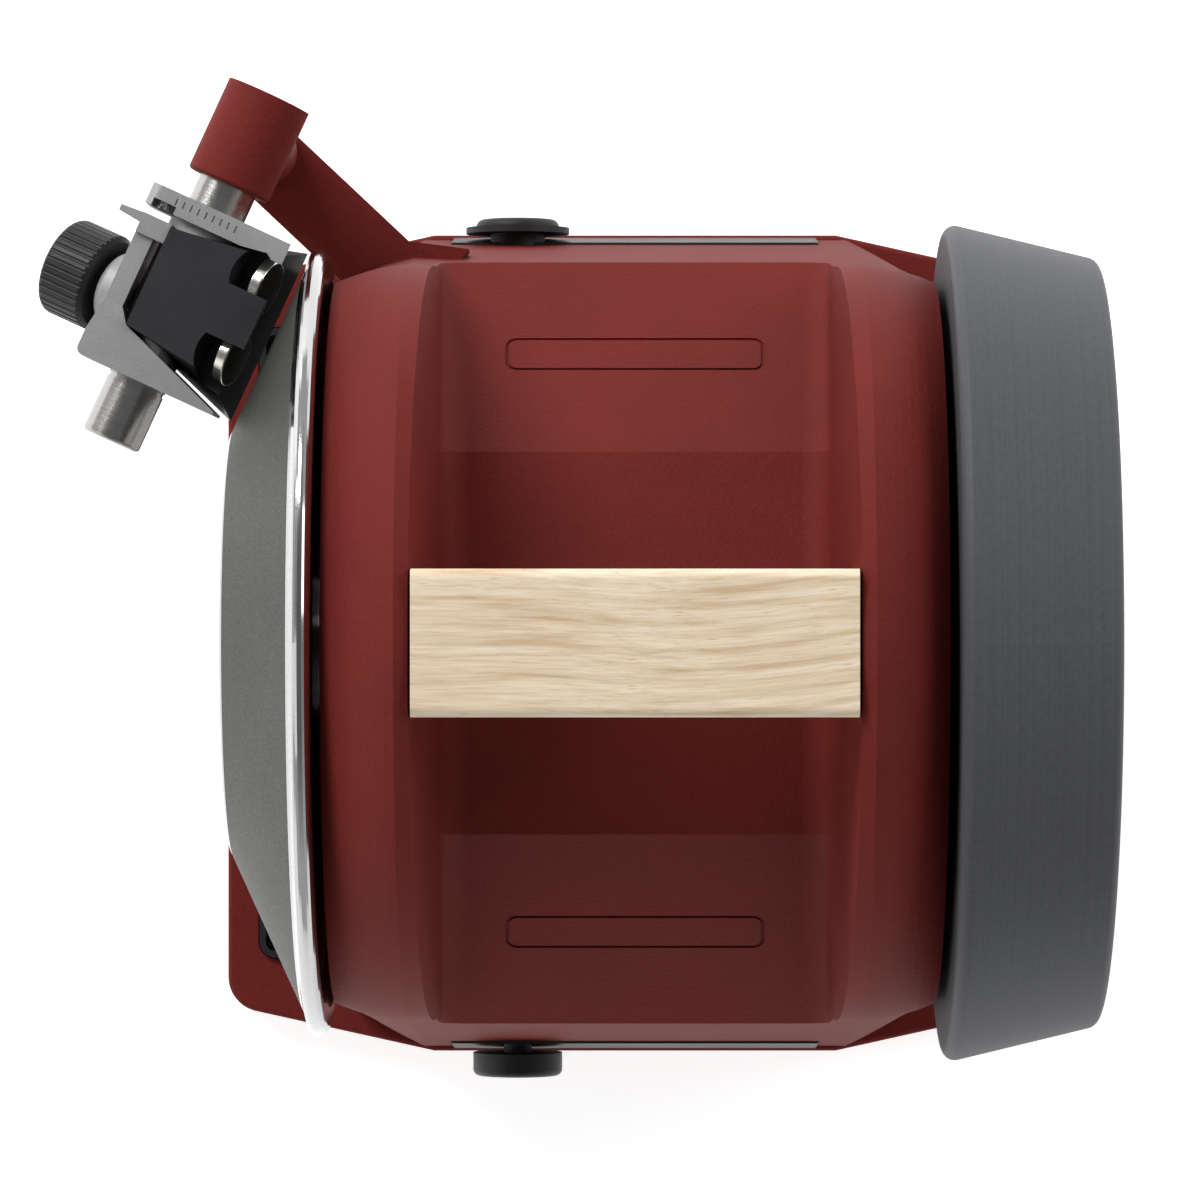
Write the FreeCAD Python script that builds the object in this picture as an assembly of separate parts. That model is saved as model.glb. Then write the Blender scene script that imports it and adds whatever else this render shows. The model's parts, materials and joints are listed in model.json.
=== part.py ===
# Electric bench knife sharpener: coned diamond wheel, honing wheel, cast housing, sliding knife guide.
# Millimetres. The pieces are drawn with the wheel axle along X through the origin, +Y to the rear and
# +Z up, and are moved at the end so that the origin is under the middle of the machine, on the bench.
import FreeCAD, Part
import os
from math import atan2, cos, degrees, hypot, pi, radians, sin, sqrt, tan

os.makedirs("parts", exist_ok=True)
V = FreeCAD.Vector

# ---- driving sizes -------------------------------------------------------------------------------
gap = 0.3                   # clearance between pieces that only stand near each other
run_fit = 0.05              # radial clearance of a turning shaft in its bore
slide_fit = 0.08            # radial clearance of a sliding bore on the support bar

# housing
axle_above_flange = 88.5
flange_thick = 7.0
flange_margin = 6.8         # side of the flange beyond the diamond wheel's face
flange_mid_half_y = 87.4    # front and rear edge, in the middle
flange_side_half_y = 77.6   # where the slanted edge meets the side
flange_corner_r = 7.5
cheek_outer_x = 59.5
cheek_outer_r = 72.0        # outer edge of a cheek, round about the axle
cheek_mid_in = 6.5          # middle of a cheek's crown, in from its outer edge
cheek_mid_r_y = 74.2
cheek_mid_r_z = 81.2
cheek_crest_in = 14.5       # crest of a cheek, in from its outer edge
cheek_crest_r_y = 75.6
cheek_crest_r_z = 88.0
cheek_stations = 8
band_reach = 8.0            # the narrow band falls inwards from the crest over this width
band_drop_y = 0.6
band_drop_z = 5.0
wall_foot_outer_y = 78.5    # foot of the front and rear wall, on the outer face of a cheek
wall_foot_y = 87.1          # the same in the middle
casting_wall = 4.0
saddle_apex_z = 40.0
saddle_crease_y = 37.5
saddle_crease_z = 25.0
saddle_lip_y = 77.4
saddle_lip_z = -17.0
saddle_in = 7.6             # side of the saddle floor under the handle, in from the crest
saddle_lip_in = 6.0         # the same at the lips
saddle_corner_r = 5.0
cheek_edge_in = 5.0         # inner edge of a cheek at the height of the axle, in from the crest
cheek_edge_flare = 0.027    # growth of that half width per mm of height
shallow_depth = 14.0        # the inner walls keep their lean where the space is shallower than this
badge_length = 51.6
badge_height = 9.8
badge_corner_r = 2.4
badge_line = 0.7
badge_depth = 0.45
badge_centre_y = 57.6

# handle
handle_end_in = 3.15        # end of the handle, in from the crest of each cheek
handle_width = 27.7
handle_thick = 17.0
handle_top_z = 87.4
handle_edge_r = 2.0
handle_screw_r = 2.0
handle_screw_drop = 3.0      # below the middle of the handle's thickness
handle_screw_pitch = 13.0
handle_screw_bite = 15.0

# bottom
foot_r = 9.0
foot_drop = 3.0
foot_in = 17.2              # centre of a foot, in from the flange's side
foot_y = 62.0
cover_thick = 2.0
cover_in = 2.5              # side of the bottom cover, in from the cheek's outer face
cover_half_y = 83.0
cover_screw_r = 2.0
cover_screw_in = 9.5
cover_screw_y = 68.0
cover_post_r = 5.0
cover_post_rise = 16.5      # top of the screw posts above the flange
vent_count = 7
vent_pitch = 8.0
vent_width = 3.0
vent_left_x = -30.0
vent_length = 36.0

# fascias, switch and gland
fascia_height = 16.0
fascia_thick = 2.4
fascia_proud = 0.5
control_x = -24.9           # switch at the front, gland at the rear
control_rise = 11.5         # above the flange
knob_r = 9.45
knob_front_y = -91.8
switch_stem_r = 3.0
switch_collar_r = 5.0
switch_half_x = 13.0
switch_half_z = 11.0
switch_depth = 20.0
switch_tab_pitch = 7.0
gland_dome_r = 8.8
gland_flange_r = 10.95
gland_end_y = 89.9
gland_bore_r = 3.6

# spindle and wheels
spindle_r = 6.0
spindle_body_r = 7.0
bearing_r = 14.0
bearing_width = 8.0
bearing_inset = 0.7         # outer face of each spindle bearing, in from the cheek's outer face
boss_wall = 5.0
wheel_gap = 1.3             # cheek to the diamond wheel's back
wheel_depth = 19.6          # the diamond wheel's back to its face
wheel_face_r = 42.0
wheel_cone_angle = 24.75    # cone's slope from the wheel's plane
wheel_cone_r = 74.6
wheel_tip_r = 78.6
wheel_tip_in = 2.2          # middle of the rounded rim, out from the wheel's back
wheel_back_r = 72.8
wheel_plate = 6.0
coating_thick = 0.5
hub_r = 16.0
nut_recess_r = 17.0
hub_seat_depth = 8.6        # wheel face to the washer's seat
honing_gap = 1.8            # cheek to the honing wheel
honing_width = 30.7
honing_in_r = 83.3
honing_out_r = 77.2
honing_edge_r = 2.3
honing_bore_r = 20.0
washer_r = 12.0
washer_thick = 2.0
nut_across_flats = 19.0
nut_thick = 6.0
spacer_r = 9.0
left_spacer = 2.7
right_spacer = 3.2

# gears
gear_module = 1.0
pinion_teeth = 14
idler_teeth = 46
spindle_teeth = 49
tooth_play = 0.12           # taken off each tooth flank
centre_play = 0.15
idler_angle = -45.0         # direction from the spindle to the idler, from +Y towards +Z
first_stage_x = 29.0        # motor pinion and idler gear
second_stage_x = 38.0       # idler pinion and spindle gear
gear_width = 6.5
idler_shaft_r = 4.0
idler_bush_r = 6.5
idler_bush_width = 5.0

# motor
stator_r = 33.0
stator_half = 17.0
stator_x = -10.0
slot_count = 12
slot_circle_r = 23.0
slot_r = 3.2
rotor_r = 18.0
rotor_gap = 0.5
motor_shaft_r = 4.0
motor_bearing_r = 9.5
motor_bearing_width = 6.0
bracket_thick = 3.0
bracket_half_y = 34.0
bracket_above_motor = 14.0
coil_clear = 2.0            # coil heads to the brackets
coil_reach = 9.0
fan_r = 24.0
fan_hub_r = 7.0
fan_width = 8.0
fan_blades = 9
stay_r = 1.6
capacitor_r = 12.5
capacitor_y = -32.0
capacitor_left_x = -40.0
capacitor_length = 45.0
terminal_x = 16.0
terminal_y = -52.0
terminal_length = 24.0
terminal_width = 16.0
terminal_height = 14.0
terminal_pitch = 5.3
terminal_count = 4

# support bar and its arm
bar_r = 6.0
bar_z = 8.0
bar_to_cone = 20.9
bar_end_behind_face = 11.7  # bar's free end, measured along the bar before the cone's small edge
bar_length = 71.0
bar_edge_r = 0.9
bar_groove_t = 12.0         # shallow ring groove near the free end
bar_groove_width = 0.7
bar_groove_depth = 0.25
socket_wall = 2.65
socket_start = 55.9
socket_length = 19.6
socket_dome = 2.0
arm_top_z = -26.0
arm_thick = 12.0
arm_width = 15.4
arm_foot_in = 7.5           # foot of the arm, in from the cheek's outer face
arm_foot_y = 77.0
arm_rib_width = 7.0
arm_rib_depth = 10.0
set_screw_r = 2.5

# knife guide, measured along the bar from its free end (t), towards the wheel (v) and up (w)
guide_front_t = 13.1
guide_rear_t = 50.2
guide_plate_thick = 4.4
guide_left_v = -12.9
guide_right_v = 17.0
guide_low_w = -10.5
guide_high_w = 9.6
sleeve_wall = 1.6
block_left_v = -5.9
block_front_t = 22.3
block_rear_t = 43.3
block_top_v = 13.5
block_foot_v = 19.4
block_top_w = 10.5
block_foot_w = -9.5
block_foot_front_t = 13.6
tongue_reach_v = 17.3
tongue_width = 10.7
disc_r = 5.7
disc_thick = 2.4
disc_set_back = 2.4         # from the middle of the block's sloping face, away from the wheel
disc_pitch = 15.4
web_left_v = -12.0
web_right_v = -8.2
pointer_reach_v = -16.7
pointer_thick = 3.0
lug_front_t = 39.8
lug_rear_t = 43.9
mark_count = 9
mark_pitch = 1.6
mark_start_v = -7.0
gap_screw_v = -9.4
gap_screw_w = 6.4
clamp_t = 28.2
clamp_slope = 22.0
clamp_knob_r = 10.0
clamp_knob_length = 10.5
knurl_count = 40
clamp_knob_start = 15.0     # from the bar's axis to the knob's inner face
clamp_screw_r = 2.5
clamp_boss_r = 7.6
clamp_hub_r = 4.5
clamp_hub_in = 6.0          # how deep the hub sits in the knob
clamp_knob_clear = 1.0      # boss of the cradle to the knob
slide_out = 11.5            # travel of the guide towards the bar's free end
slide_in = 1.8              # travel of the guide towards the socket
tilt_up = 7.0
tilt_down = 6.0

# dust tray
tray_width = 15.6
tray_half_y = 67.4
tray_corner_r = 3.5
tray_pocket_depth = 4.0
tray_proud = 1.4
tray_wall = 1.4
tray_lift = 5.5

# ---- sizes that follow ---------------------------------------------------------------------------
cheek_mid_x = cheek_outer_x - cheek_mid_in
cheek_crest_x = cheek_outer_x - cheek_crest_in
band_end_x = cheek_crest_x - band_reach
saddle_half_x = cheek_crest_x - saddle_in
saddle_lip_half_x = cheek_crest_x - saddle_lip_in
cheek_edge_half_x = cheek_crest_x - cheek_edge_in
handle_length = 2 * (cheek_crest_x - handle_end_in)
bearing_in_x = cheek_outer_x - bearing_width - bearing_inset
boss_r = bearing_r + boss_wall
wheel_back_x = -(cheek_outer_x + wheel_gap)
wheel_face_x = wheel_back_x - wheel_depth
wheel_tip_x = wheel_back_x - wheel_tip_in
honing_in_x = cheek_outer_x + honing_gap
honing_out_x = honing_in_x + honing_width
tray_left_x = wheel_face_x
flange_half_x = flange_margin - wheel_face_x
flange_straight_half_x = cheek_crest_x - 2.0
foot_x = flange_half_x - foot_in
cover_half_x = cheek_outer_x - cover_in
cover_screw_x = cheek_outer_x - cover_screw_in
fascia_half_x = saddle_lip_half_x
arm_foot_x = arm_foot_in - cheek_outer_x
socket_r = bar_r + socket_wall
sleeve_r = bar_r + sleeve_wall
flange_top = -axle_above_flange
cover_post_top_z = flange_top + cover_post_rise
control_z = flange_top + control_rise
flange_low = flange_top - flange_thick
bench_z = flange_low - foot_drop
cone = radians(wheel_cone_angle)
along = V(sin(cone), cos(cone), 0)          # along the bar, from its free end to the socket
toward = V(cos(cone), -sin(cone), 0)        # from the bar towards the wheel
cone_start = V(wheel_face_x, wheel_face_r, 0)
bar_end = cone_start - toward * bar_to_cone - along * bar_end_behind_face + V(0, 0, bar_z)
cone_end_x = wheel_face_x + (wheel_cone_r - wheel_face_r) * tan(cone)
pinion_r = gear_module * pinion_teeth / 2
idler_gear_r = gear_module * idler_teeth / 2
spindle_gear_r = gear_module * spindle_teeth / 2
second_centres = spindle_gear_r + pinion_r + centre_play
first_centres = idler_gear_r + pinion_r + centre_play
idler_y = -second_centres * sin(radians(idler_angle))
idler_z = second_centres * sin(radians(idler_angle))
motor_y = idler_y
clamp_boss_end = clamp_knob_start - clamp_knob_clear
motor_z = idler_z - first_centres
cover_top = flange_low + cover_thick
bracket_left_x = stator_x - stator_half - coil_reach - coil_clear - bracket_thick
bracket_right_x = stator_x + stator_half + coil_reach + coil_clear


# ---- small helpers -------------------------------------------------------------------------------
def box(x0, x1, y0, y1, z0, z1):
    return Part.makeBox(x1 - x0, y1 - y0, z1 - z0, V(x0, y0, z0))


def rod(r, start, end):
    """Round bar between two points."""
    start = V(*start)
    end = V(*end)
    return Part.makeCylinder(r, (end - start).Length, start, end - start)


def rod_x(r, x0, x1, y=0.0, z=0.0):
    return rod(r, (x0, y, z), (x1, y, z))


def polygon(points):
    return Part.makePolygon([V(*p) for p in points] + [V(*points[0])])


def prism(points, direction):
    """Straight prism of a flat outline."""
    return Part.Face(polygon(points)).extrude(V(*direction))


def turned(profile, y=0.0, z=0.0):
    """Solid of revolution about X, from (x, r) points."""
    solid = Part.Face(polygon([(x, 0, r) for x, r in profile])).revolve(V(0, 0, 0), V(1, 0, 0), 360)
    solid.translate(V(0, y, z))
    return solid


def union(shapes):
    first = shapes[0]
    if len(shapes) == 1:
        return first
    return first.fuse(shapes[1:]).removeSplitter()


def rounded_plate(points, radii, z0, height):
    """Flat plate whose corners are rounded, corner by corner."""
    plate = prism([(x, y, z0) for x, y in points], (0, 0, height))
    for (x, y), radius in zip(points, radii):
        if radius <= 0:
            continue
        edges = [e for e in plate.Edges if is_upright_at(e, x, y)]
        plate = plate.makeFillet(radius, edges)
    return plate


def is_upright_at(edge, x, y):
    ends = [v.Point for v in edge.Vertexes]
    return all(hypot(p.x - x, p.y - y) < 0.01 for p in ends) and len(ends) == 2


def mirrored_x(shape):
    return shape.mirror(V(0, 0, 0), V(1, 0, 0))


def mirrored_y(shape):
    return shape.mirror(V(0, 0, 0), V(0, 1, 0))


def guide_place(shape):
    """From the guide's own axes (v, t, w) to the machine's."""
    placed = shape.copy()
    placed.rotate(V(0, 0, 0), V(0, 0, 1), -wheel_cone_angle)
    placed.translate(bar_end)
    return placed


def hexagon(across_flats, x0, thick):
    corner = across_flats / 2 / cos(pi / 6)
    points = []
    for k in range(6):
        angle = k * pi / 3
        points.append((x0, corner * cos(angle), corner * sin(angle)))
    return prism(points, (thick, 0, 0))


def gear(teeth, width, bore, x0, turn=0.0):
    """Spur gear about X with straight-flanked teeth that mesh with backlash."""
    pitch_r = gear_module * teeth / 2
    tip_r = pitch_r + 0.9 * gear_module
    root_r = pitch_r - 1.2 * gear_module
    half_pitch = pi * gear_module / 4 - tooth_play
    points = []
    for k in range(teeth):
        middle = 2 * pi * k / teeth + turn
        flank = ((root_r, 1.42), (pitch_r, 1.0), (tip_r, 0.42))
        for r, share in flank:
            angle = middle - half_pitch * share / r
            points.append((x0, r * cos(angle), r * sin(angle)))
        for r, share in reversed(flank):
            angle = middle + half_pitch * share / r
            points.append((x0, r * cos(angle), r * sin(angle)))
    blank = prism(points, (width, 0, 0))
    return blank.cut(rod_x(bore, x0 - 1, x0 + width + 1))


# ---- housing -------------------------------------------------------------------------------------
def arch_wire(x, r_y, r_z, foot_y, low):
    """Side outline of the casting at one x: half an ellipse on two leaning walls."""
    side = V(x, -r_y, 0)
    other = V(x, r_y, 0)
    top = V(x, 0, r_z)
    if abs(r_y - r_z) < 1e-6:
        arc = Part.Arc(side, top, other).toShape()
    else:
        ellipse = Part.Ellipse(top, other, V(x, 0, 0))
        ends = sorted([ellipse.parameter(side), ellipse.parameter(other)])
        arc = Part.Arc(ellipse, ends[0], ends[1]).toShape()
        if arc.valueAt((arc.FirstParameter + arc.LastParameter) / 2).z < 0:
            arc = Part.Arc(ellipse, ends[1], ends[0] + 2 * pi).toShape()
    foot = V(x, foot_y, low)
    foot_2 = V(x, -foot_y, low)
    lines = [Part.makeLine(other, foot), Part.makeLine(foot, foot_2), Part.makeLine(foot_2, side)]
    return Part.Wire(Part.__sortEdges__([arc] + lines))


def crown(x, outer, middle, crest):
    """Value at one x of the smooth curve through a cheek's outer edge, middle and crest."""
    to_middle = (x - cheek_mid_x) / (cheek_outer_x - cheek_mid_x)
    to_crest = (x - cheek_crest_x) / (cheek_outer_x - cheek_crest_x)
    from_outer = (x - cheek_outer_x) / (cheek_mid_x - cheek_outer_x)
    share_outer = to_middle * to_crest
    share_middle = from_outer * (x - cheek_crest_x) / (cheek_mid_x - cheek_crest_x)
    return outer * share_outer + middle * share_middle + crest * (1 - share_outer - share_middle)


def cheek():
    """Right cheek, crowned from its round outer edge to its crest."""
    low = flange_low + 1
    sections = []
    for k in range(cheek_stations + 1):
        x = cheek_outer_x + (cheek_crest_x - cheek_outer_x) * k / cheek_stations
        r_y = crown(x, cheek_outer_r, cheek_mid_r_y, cheek_crest_r_y)
        r_z = crown(x, cheek_outer_r, cheek_mid_r_z, cheek_crest_r_z)
        foot = crown(x, wall_foot_outer_y, (wall_foot_outer_y + wall_foot_y) / 2, wall_foot_y)
        sections.append(arch_wire(x, r_y, r_z, foot, low))
    return Part.makeLoft(sections, True, True)


def cheek_band():
    low = flange_low + 1
    crest = arch_wire(cheek_crest_x, cheek_crest_r_y, cheek_crest_r_z, wall_foot_y, low)
    edge = arch_wire(band_end_x, cheek_crest_r_y - band_drop_y, cheek_crest_r_z - band_drop_z,
                     wall_foot_y - 0.01, low)
    return Part.makeLoft([crest, edge], True, True)


def middle_block():
    edge = arch_wire(-band_end_x, cheek_crest_r_y - band_drop_y, cheek_crest_r_z - band_drop_z,
                     wall_foot_y - 0.01, flange_low + 1)
    return Part.Face(edge).extrude(V(2 * band_end_x, 0, 0))


def saddle_z(y):
    """Height of the saddle floor at one y."""
    y = abs(y)
    if y <= saddle_crease_y:
        return saddle_apex_z + (saddle_crease_z - saddle_apex_z) * y / saddle_crease_y
    slope = (saddle_lip_z - saddle_crease_z) / (saddle_lip_y - saddle_crease_y)
    return saddle_crease_z + slope * (y - saddle_crease_y)


def saddle_half(y):
    share = min(1.0, abs(y) / saddle_lip_y)
    return saddle_half_x + (saddle_lip_half_x - saddle_half_x) * share ** 2


def cheek_edge_z(y):
    """Height of a cheek's inner edge at one y."""
    reach = cheek_crest_r_y - band_drop_y
    if abs(y) >= reach:
        return 0.0
    return (cheek_crest_r_z - band_drop_z / 2) * sqrt(1 - (y / reach) ** 2)


def saddle_section(y):
    """Cross-section of the space between the cheeks: flat floor, rounded corners, leaning sides."""
    floor = saddle_z(y)
    half = saddle_half(y)
    edge_z = cheek_edge_z(y)
    top = cheek_crest_r_z + 22.0
    edge_half = cheek_edge_half_x + cheek_edge_flare * edge_z
    lean = (edge_half - half) / max(shallow_depth, edge_z - floor)
    r = saddle_corner_r
    up_x = half + lean * r
    mid = V(half - r * (1 - cos(pi / 4)) + lean * r / 4, y, floor + r * (1 - cos(pi / 4)))
    left_mid = V(-mid.x, y, mid.z)
    right_wall = V(up_x, y, floor + r)
    left_wall = V(-up_x, y, floor + r)
    top_x = half + lean * (top - floor)
    floor_right = V(half - r, y, floor)
    floor_left = V(r - half, y, floor)
    edges = [Part.makeLine(floor_left, floor_right),
             Part.Arc(floor_right, mid, right_wall).toShape(),
             Part.makeLine(right_wall, V(top_x, y, top)),
             Part.makeLine(V(top_x, y, top), V(-top_x, y, top)),
             Part.makeLine(V(-top_x, y, top), left_wall),
             Part.Arc(left_wall, left_mid, floor_left).toShape()]
    return Part.Wire(edges)


def saddle_space():
    """Everything that is open between the cheeks."""
    steep = [saddle_crease_y + (saddle_lip_y - saddle_crease_y) * share for share in (0.35, 0.65, 0.85, 1.0)]
    half = [saddle_crease_y / 2, saddle_crease_y] + steep + [saddle_lip_y + 18.0]
    stations = [-y for y in reversed(half)] + [0.0] + half
    return Part.makeLoft([saddle_section(y) for y in stations], True, True)


def wall_y(z):
    """Front and rear wall in the middle, at one height below the axle."""
    start = cheek_crest_r_y - band_drop_y
    return start + (wall_foot_y - start) * z / (flange_low + 1)


def flange():
    corners = [(flange_half_x, flange_side_half_y), (flange_straight_half_x, flange_mid_half_y)]
    points = corners + [(-x, y) for x, y in reversed(corners)]
    points = points + [(-x, -y) for x, y in points]
    radii = [flange_corner_r if abs(x) == flange_half_x else 0 for x, y in points]
    plate = rounded_plate(points, radii, flange_low, flange_thick)
    top = [e for e in plate.Edges if all(abs(v.Z - flange_top) < 0.01 for v in e.Vertexes)]
    return plate.makeFillet(1.0, top)


def socket_and_arm():
    """Tube that holds the support bar, on its arm from the rear left of the housing."""
    start = bar_end + along * socket_start
    finish = start + along * socket_length
    tube = Part.makeCylinder(socket_r, socket_length, start, along)
    round_end = Part.makeSphere(socket_r * 2.6, finish - along * (socket_r * 2.6 - socket_dome))
    cap = Part.makeCylinder(socket_r, socket_dome, finish, along).common(round_end)
    head = tube.fuse(cap)
    head = head.makeFillet(0.8, [e for e in head.Edges if is_ring_at(e, start)])
    middle = start + along * (socket_length * 0.52)
    foot = V(arm_foot_x, arm_foot_y, 0)
    run = V(foot.x - middle.x, foot.y - middle.y, 0)
    run.normalize()
    side = V(-run.y, run.x, 0)
    a = V(middle.x, middle.y, 0) - run * 1.0
    b = foot + run * 16.0
    half = side * (arm_width / 2)
    low = V(0, 0, arm_top_z - arm_thick)
    points = [a - half + low, b - half + low, b + half + low, a + half + low]
    slab = Part.Face(Part.makePolygon(points + [points[0]])).extrude(V(0, 0, arm_thick))
    post_low = V(middle.x, middle.y, arm_top_z - arm_thick)
    post = Part.makeCylinder(arm_width / 2, bar_z - post_low.z, post_low)
    gusset = prism([(arm_foot_x + 6, arm_foot_y + 5, low.z), (arm_foot_x + 18, arm_foot_y + 3.5, low.z),
                    (arm_foot_x + 10, arm_foot_y - 7, low.z), (arm_foot_x - 8, arm_foot_y - 7, low.z)],
                   (0, 0, arm_thick))
    edge = side * (arm_rib_width / 2)
    drop = V(0, 0, low.z - arm_rib_depth)
    rib_points = [a - edge + drop, b - edge + drop, b + edge + drop, a + edge + drop]
    rib = Part.Face(Part.makePolygon(rib_points + [rib_points[0]])).extrude(V(0, 0, arm_rib_depth))
    return union([head, post, slab, gusset, rib])


def is_ring_at(edge, centre):
    curve = edge.Curve
    return isinstance(curve, Part.Circle) and (curve.Center - centre).Length < 0.01


def inner_wall_line():
    """Inner face of the front and rear wall as its upper and lower (y, z) points."""
    upper = (wall_y(saddle_lip_z) - casting_wall - 1.5, saddle_lip_z - 4)
    lower = (wall_y(flange_low) - casting_wall - 1, flange_low - 1)
    return upper, lower


def inner_wall_y(z):
    (y0, z0), (y1, z1) = inner_wall_line()
    return y0 + (y1 - y0) * (z - z0) / (z1 - z0)


def inner_space():
    """Hollow inside of the casting, open at the bottom."""
    roof = saddle_z(0) - casting_wall - 1
    crease = saddle_z(saddle_crease_y) - casting_wall - 1.5
    upper, lower = inner_wall_line()
    half_side = [(saddle_crease_y - 1, crease), upper, lower]
    points = [(0, roof)] + half_side + [(-y, z) for y, z in reversed(half_side)]
    half = cheek_outer_x - casting_wall
    return prism([(-half, y, z) for y, z in points], (2 * half, 0, 0))


def cheek_hollow():
    """Room inside the right cheek, above the main space."""
    x0 = cheek_crest_x + 1.5
    x1 = cheek_outer_x - casting_wall
    r = cheek_outer_r - casting_wall
    crown_r = cheek_crest_r_z - casting_wall - 1
    crown = turned([(x0, 0), (x0, crown_r), (x0 + 3.6, crown_r - 1.5), (x1, r), (x1, 0)])
    ring = rod_x(r, x0, x1).common(box(x0, x1, -r, r, -40, r))
    half = handle_screw_pitch / 2 + 3 * handle_screw_r
    return ring.fuse(crown.common(box(x0, x1, -half, half, 0, crown_r)))


def bearing_boss():
    x1 = cheek_outer_x - casting_wall + 0.5
    return rod_x(boss_r, bearing_in_x - 3, x1)


def bearing_bore():
    seat = rod_x(bearing_r, bearing_in_x, cheek_outer_x + 1)
    return seat.fuse(rod_x(bearing_r - 3.5, bearing_in_x - 4, bearing_in_x + 1))


def idler_boss():
    x0 = cheek_outer_x - casting_wall - idler_bush_width
    boss = rod_x(idler_bush_r + 3.5, x0, cheek_outer_x - casting_wall + 0.5, idler_y, idler_z)
    bore = rod_x(idler_bush_r, x0 - 1, x0 + idler_bush_width, idler_y, idler_z)
    return boss, bore


def cover_post(x, y):
    """Screw post for the bottom cover, tied to the cheek and the wall beside it."""
    post = rod(cover_post_r, (x, y, cover_top), (x, y, cover_post_top_z))
    side_x = x * 1.08
    wall = y * 1.18
    web = box(min(x, side_x), max(x, side_x), min(y, wall), max(y, wall), cover_top, cover_post_top_z)
    return post.fuse(web)


def cover_posts():
    """Centres of the four cover screws."""
    return [(sx * cover_screw_x, sy * cover_screw_y) for sx in (-1, 1) for sy in (-1, 1)]


def badge_groove(side):
    """Thin rounded outline cut into one long slope; side is -1 in front and 1 behind."""
    slope = atan2(saddle_crease_z - saddle_lip_z, saddle_lip_y - saddle_crease_y)
    outer = rounded_block(badge_length, badge_height, badge_corner_r, 4.0)
    inner = rounded_block(badge_length - 2 * badge_line, badge_height - 2 * badge_line,
                          badge_corner_r - badge_line, 4.0)
    groove = outer.cut(inner)
    groove.translate(V(0, 0, -badge_depth))
    groove.rotate(V(0, 0, 0), V(1, 0, 0), -side * degrees(slope))
    groove.translate(V(0, side * badge_centre_y, saddle_z(badge_centre_y)))
    return groove


def rounded_block(length, width, radius, height):
    """Block on z = 0, centred in x and y, with rounded upright edges."""
    block = box(-length / 2, length / 2, -width / 2, width / 2, 0, height)
    return block.makeFillet(radius, [e for e in block.Edges if abs(e.tangentAt(e.FirstParameter).z) > 0.99])


def fascia_outline(grow, front_y, back_y):
    """Fascia as a leaning plate between the flange and its own top; y counts outwards."""
    half = fascia_half_x + grow
    low = flange_top
    high = flange_top + fascia_height + grow
    points = []
    for depth in (front_y, back_y):
        points.append((wall_y(low) + depth, low))
        points.append((wall_y(high) + depth, high))
    (y0, z0), (y1, z1), (y2, z2), (y3, z3) = points
    return prism([(-half, y0, z0), (-half, y1, z1), (-half, y3, z3), (-half, y2, z2)], (2 * half, 0, 0))


def handle_seat(grow):
    """Room that the handle's ends take in the cheeks."""
    half = handle_length / 2 + grow
    top = cheek_crest_r_z + 5
    return box(-half, half, -handle_width / 2 - grow, handle_width / 2 + grow,
               handle_top_z - handle_thick - grow, top)


def handle_screw_spots():
    z = handle_top_z - handle_thick / 2 - handle_screw_drop
    return [(sx, sy * handle_screw_pitch / 2, z) for sx in (-1, 1) for sy in (-1, 1)]


def handle_screw(sx, y, z, grow=0.0):
    seat = sx * (cheek_crest_x + 1.5)
    tip = sx * (handle_length / 2 - handle_screw_bite)
    shank = rod(handle_screw_r + grow, (seat, y, z), (tip, y, z))
    head = rod(handle_screw_r * 1.8 + grow, (seat, y, z), (seat + sx * 3.2, y, z))
    return shank, head


def set_screw(grow=0.0):
    """Headless screw up through the underside of the socket onto the bar."""
    spot = bar_end + along * (socket_start + 5.0)
    low = bar_z - socket_r - 0.2
    return rod(set_screw_r + grow, (spot.x, spot.y, low), (spot.x, spot.y, bar_z - bar_r))


def housing():
    right = cheek().fuse(cheek_band())
    body = union([middle_block(), right, mirrored_x(right), flange()])
    body = body.cut(saddle_space())
    hollow = cheek_hollow()
    body = body.cut([inner_space(), hollow, mirrored_x(hollow)])
    boss = bearing_boss()
    stem, stem_bore = idler_boss()
    posts = [cover_post(x, y) for x, y in cover_posts()]
    body = union([body, boss, mirrored_x(boss), stem, socket_and_arm()] + posts)
    cuts = [bearing_bore(), mirrored_x(bearing_bore()), stem_bore, badge_groove(-1), badge_groove(1)]
    cuts.append(handle_seat(gap / 3))
    bar_depth = bar_length - socket_start + 0.5
    cuts.append(Part.makeCylinder(bar_r + 0.02, bar_depth, bar_end + along * socket_start, along))
    cuts.append(set_screw(0.02))
    cuts.append(tray_space())
    cuts.append(cover_room())
    for x, y in cover_posts():
        cuts.append(rod(cover_screw_r, (x, y, flange_low - 1), (x, y, cover_post_top_z - 4)))
    for x, y, z in handle_screw_spots():
        cuts.append(handle_screw(x, y, z, 0.2)[0])
    fascia_room = fascia_outline(0.15, fascia_proud + 2, fascia_proud - fascia_thick - 0.1)
    cuts.append(fascia_room)
    cuts.append(mirrored_y(fascia_room))
    cuts.append(rod(switch_stem_r + 1, (control_x, -70, control_z), (control_x, -95, control_z)))
    cuts.append(rod(gland_bore_r + 2.2, (control_x, 70, control_z), (control_x, 95, control_z)))
    return body.cut(cuts)


def cover_room():
    """Rebate that lets the bottom cover lie inside the flange."""
    return cover_plate(gap, flange_low - 1, cover_thick + 1.1)


def cover_plate(grow, z0, height):
    x = cover_half_x + grow
    y = cover_half_y + grow
    return box(-x, x, -y, y, z0, z0 + height)


def tray_space():
    """Pocket for the dust tray in the flange under the diamond wheel."""
    return tray_block(gap, flange_top - tray_pocket_depth, tray_pocket_depth + 5, tray_corner_r + gap)


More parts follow.
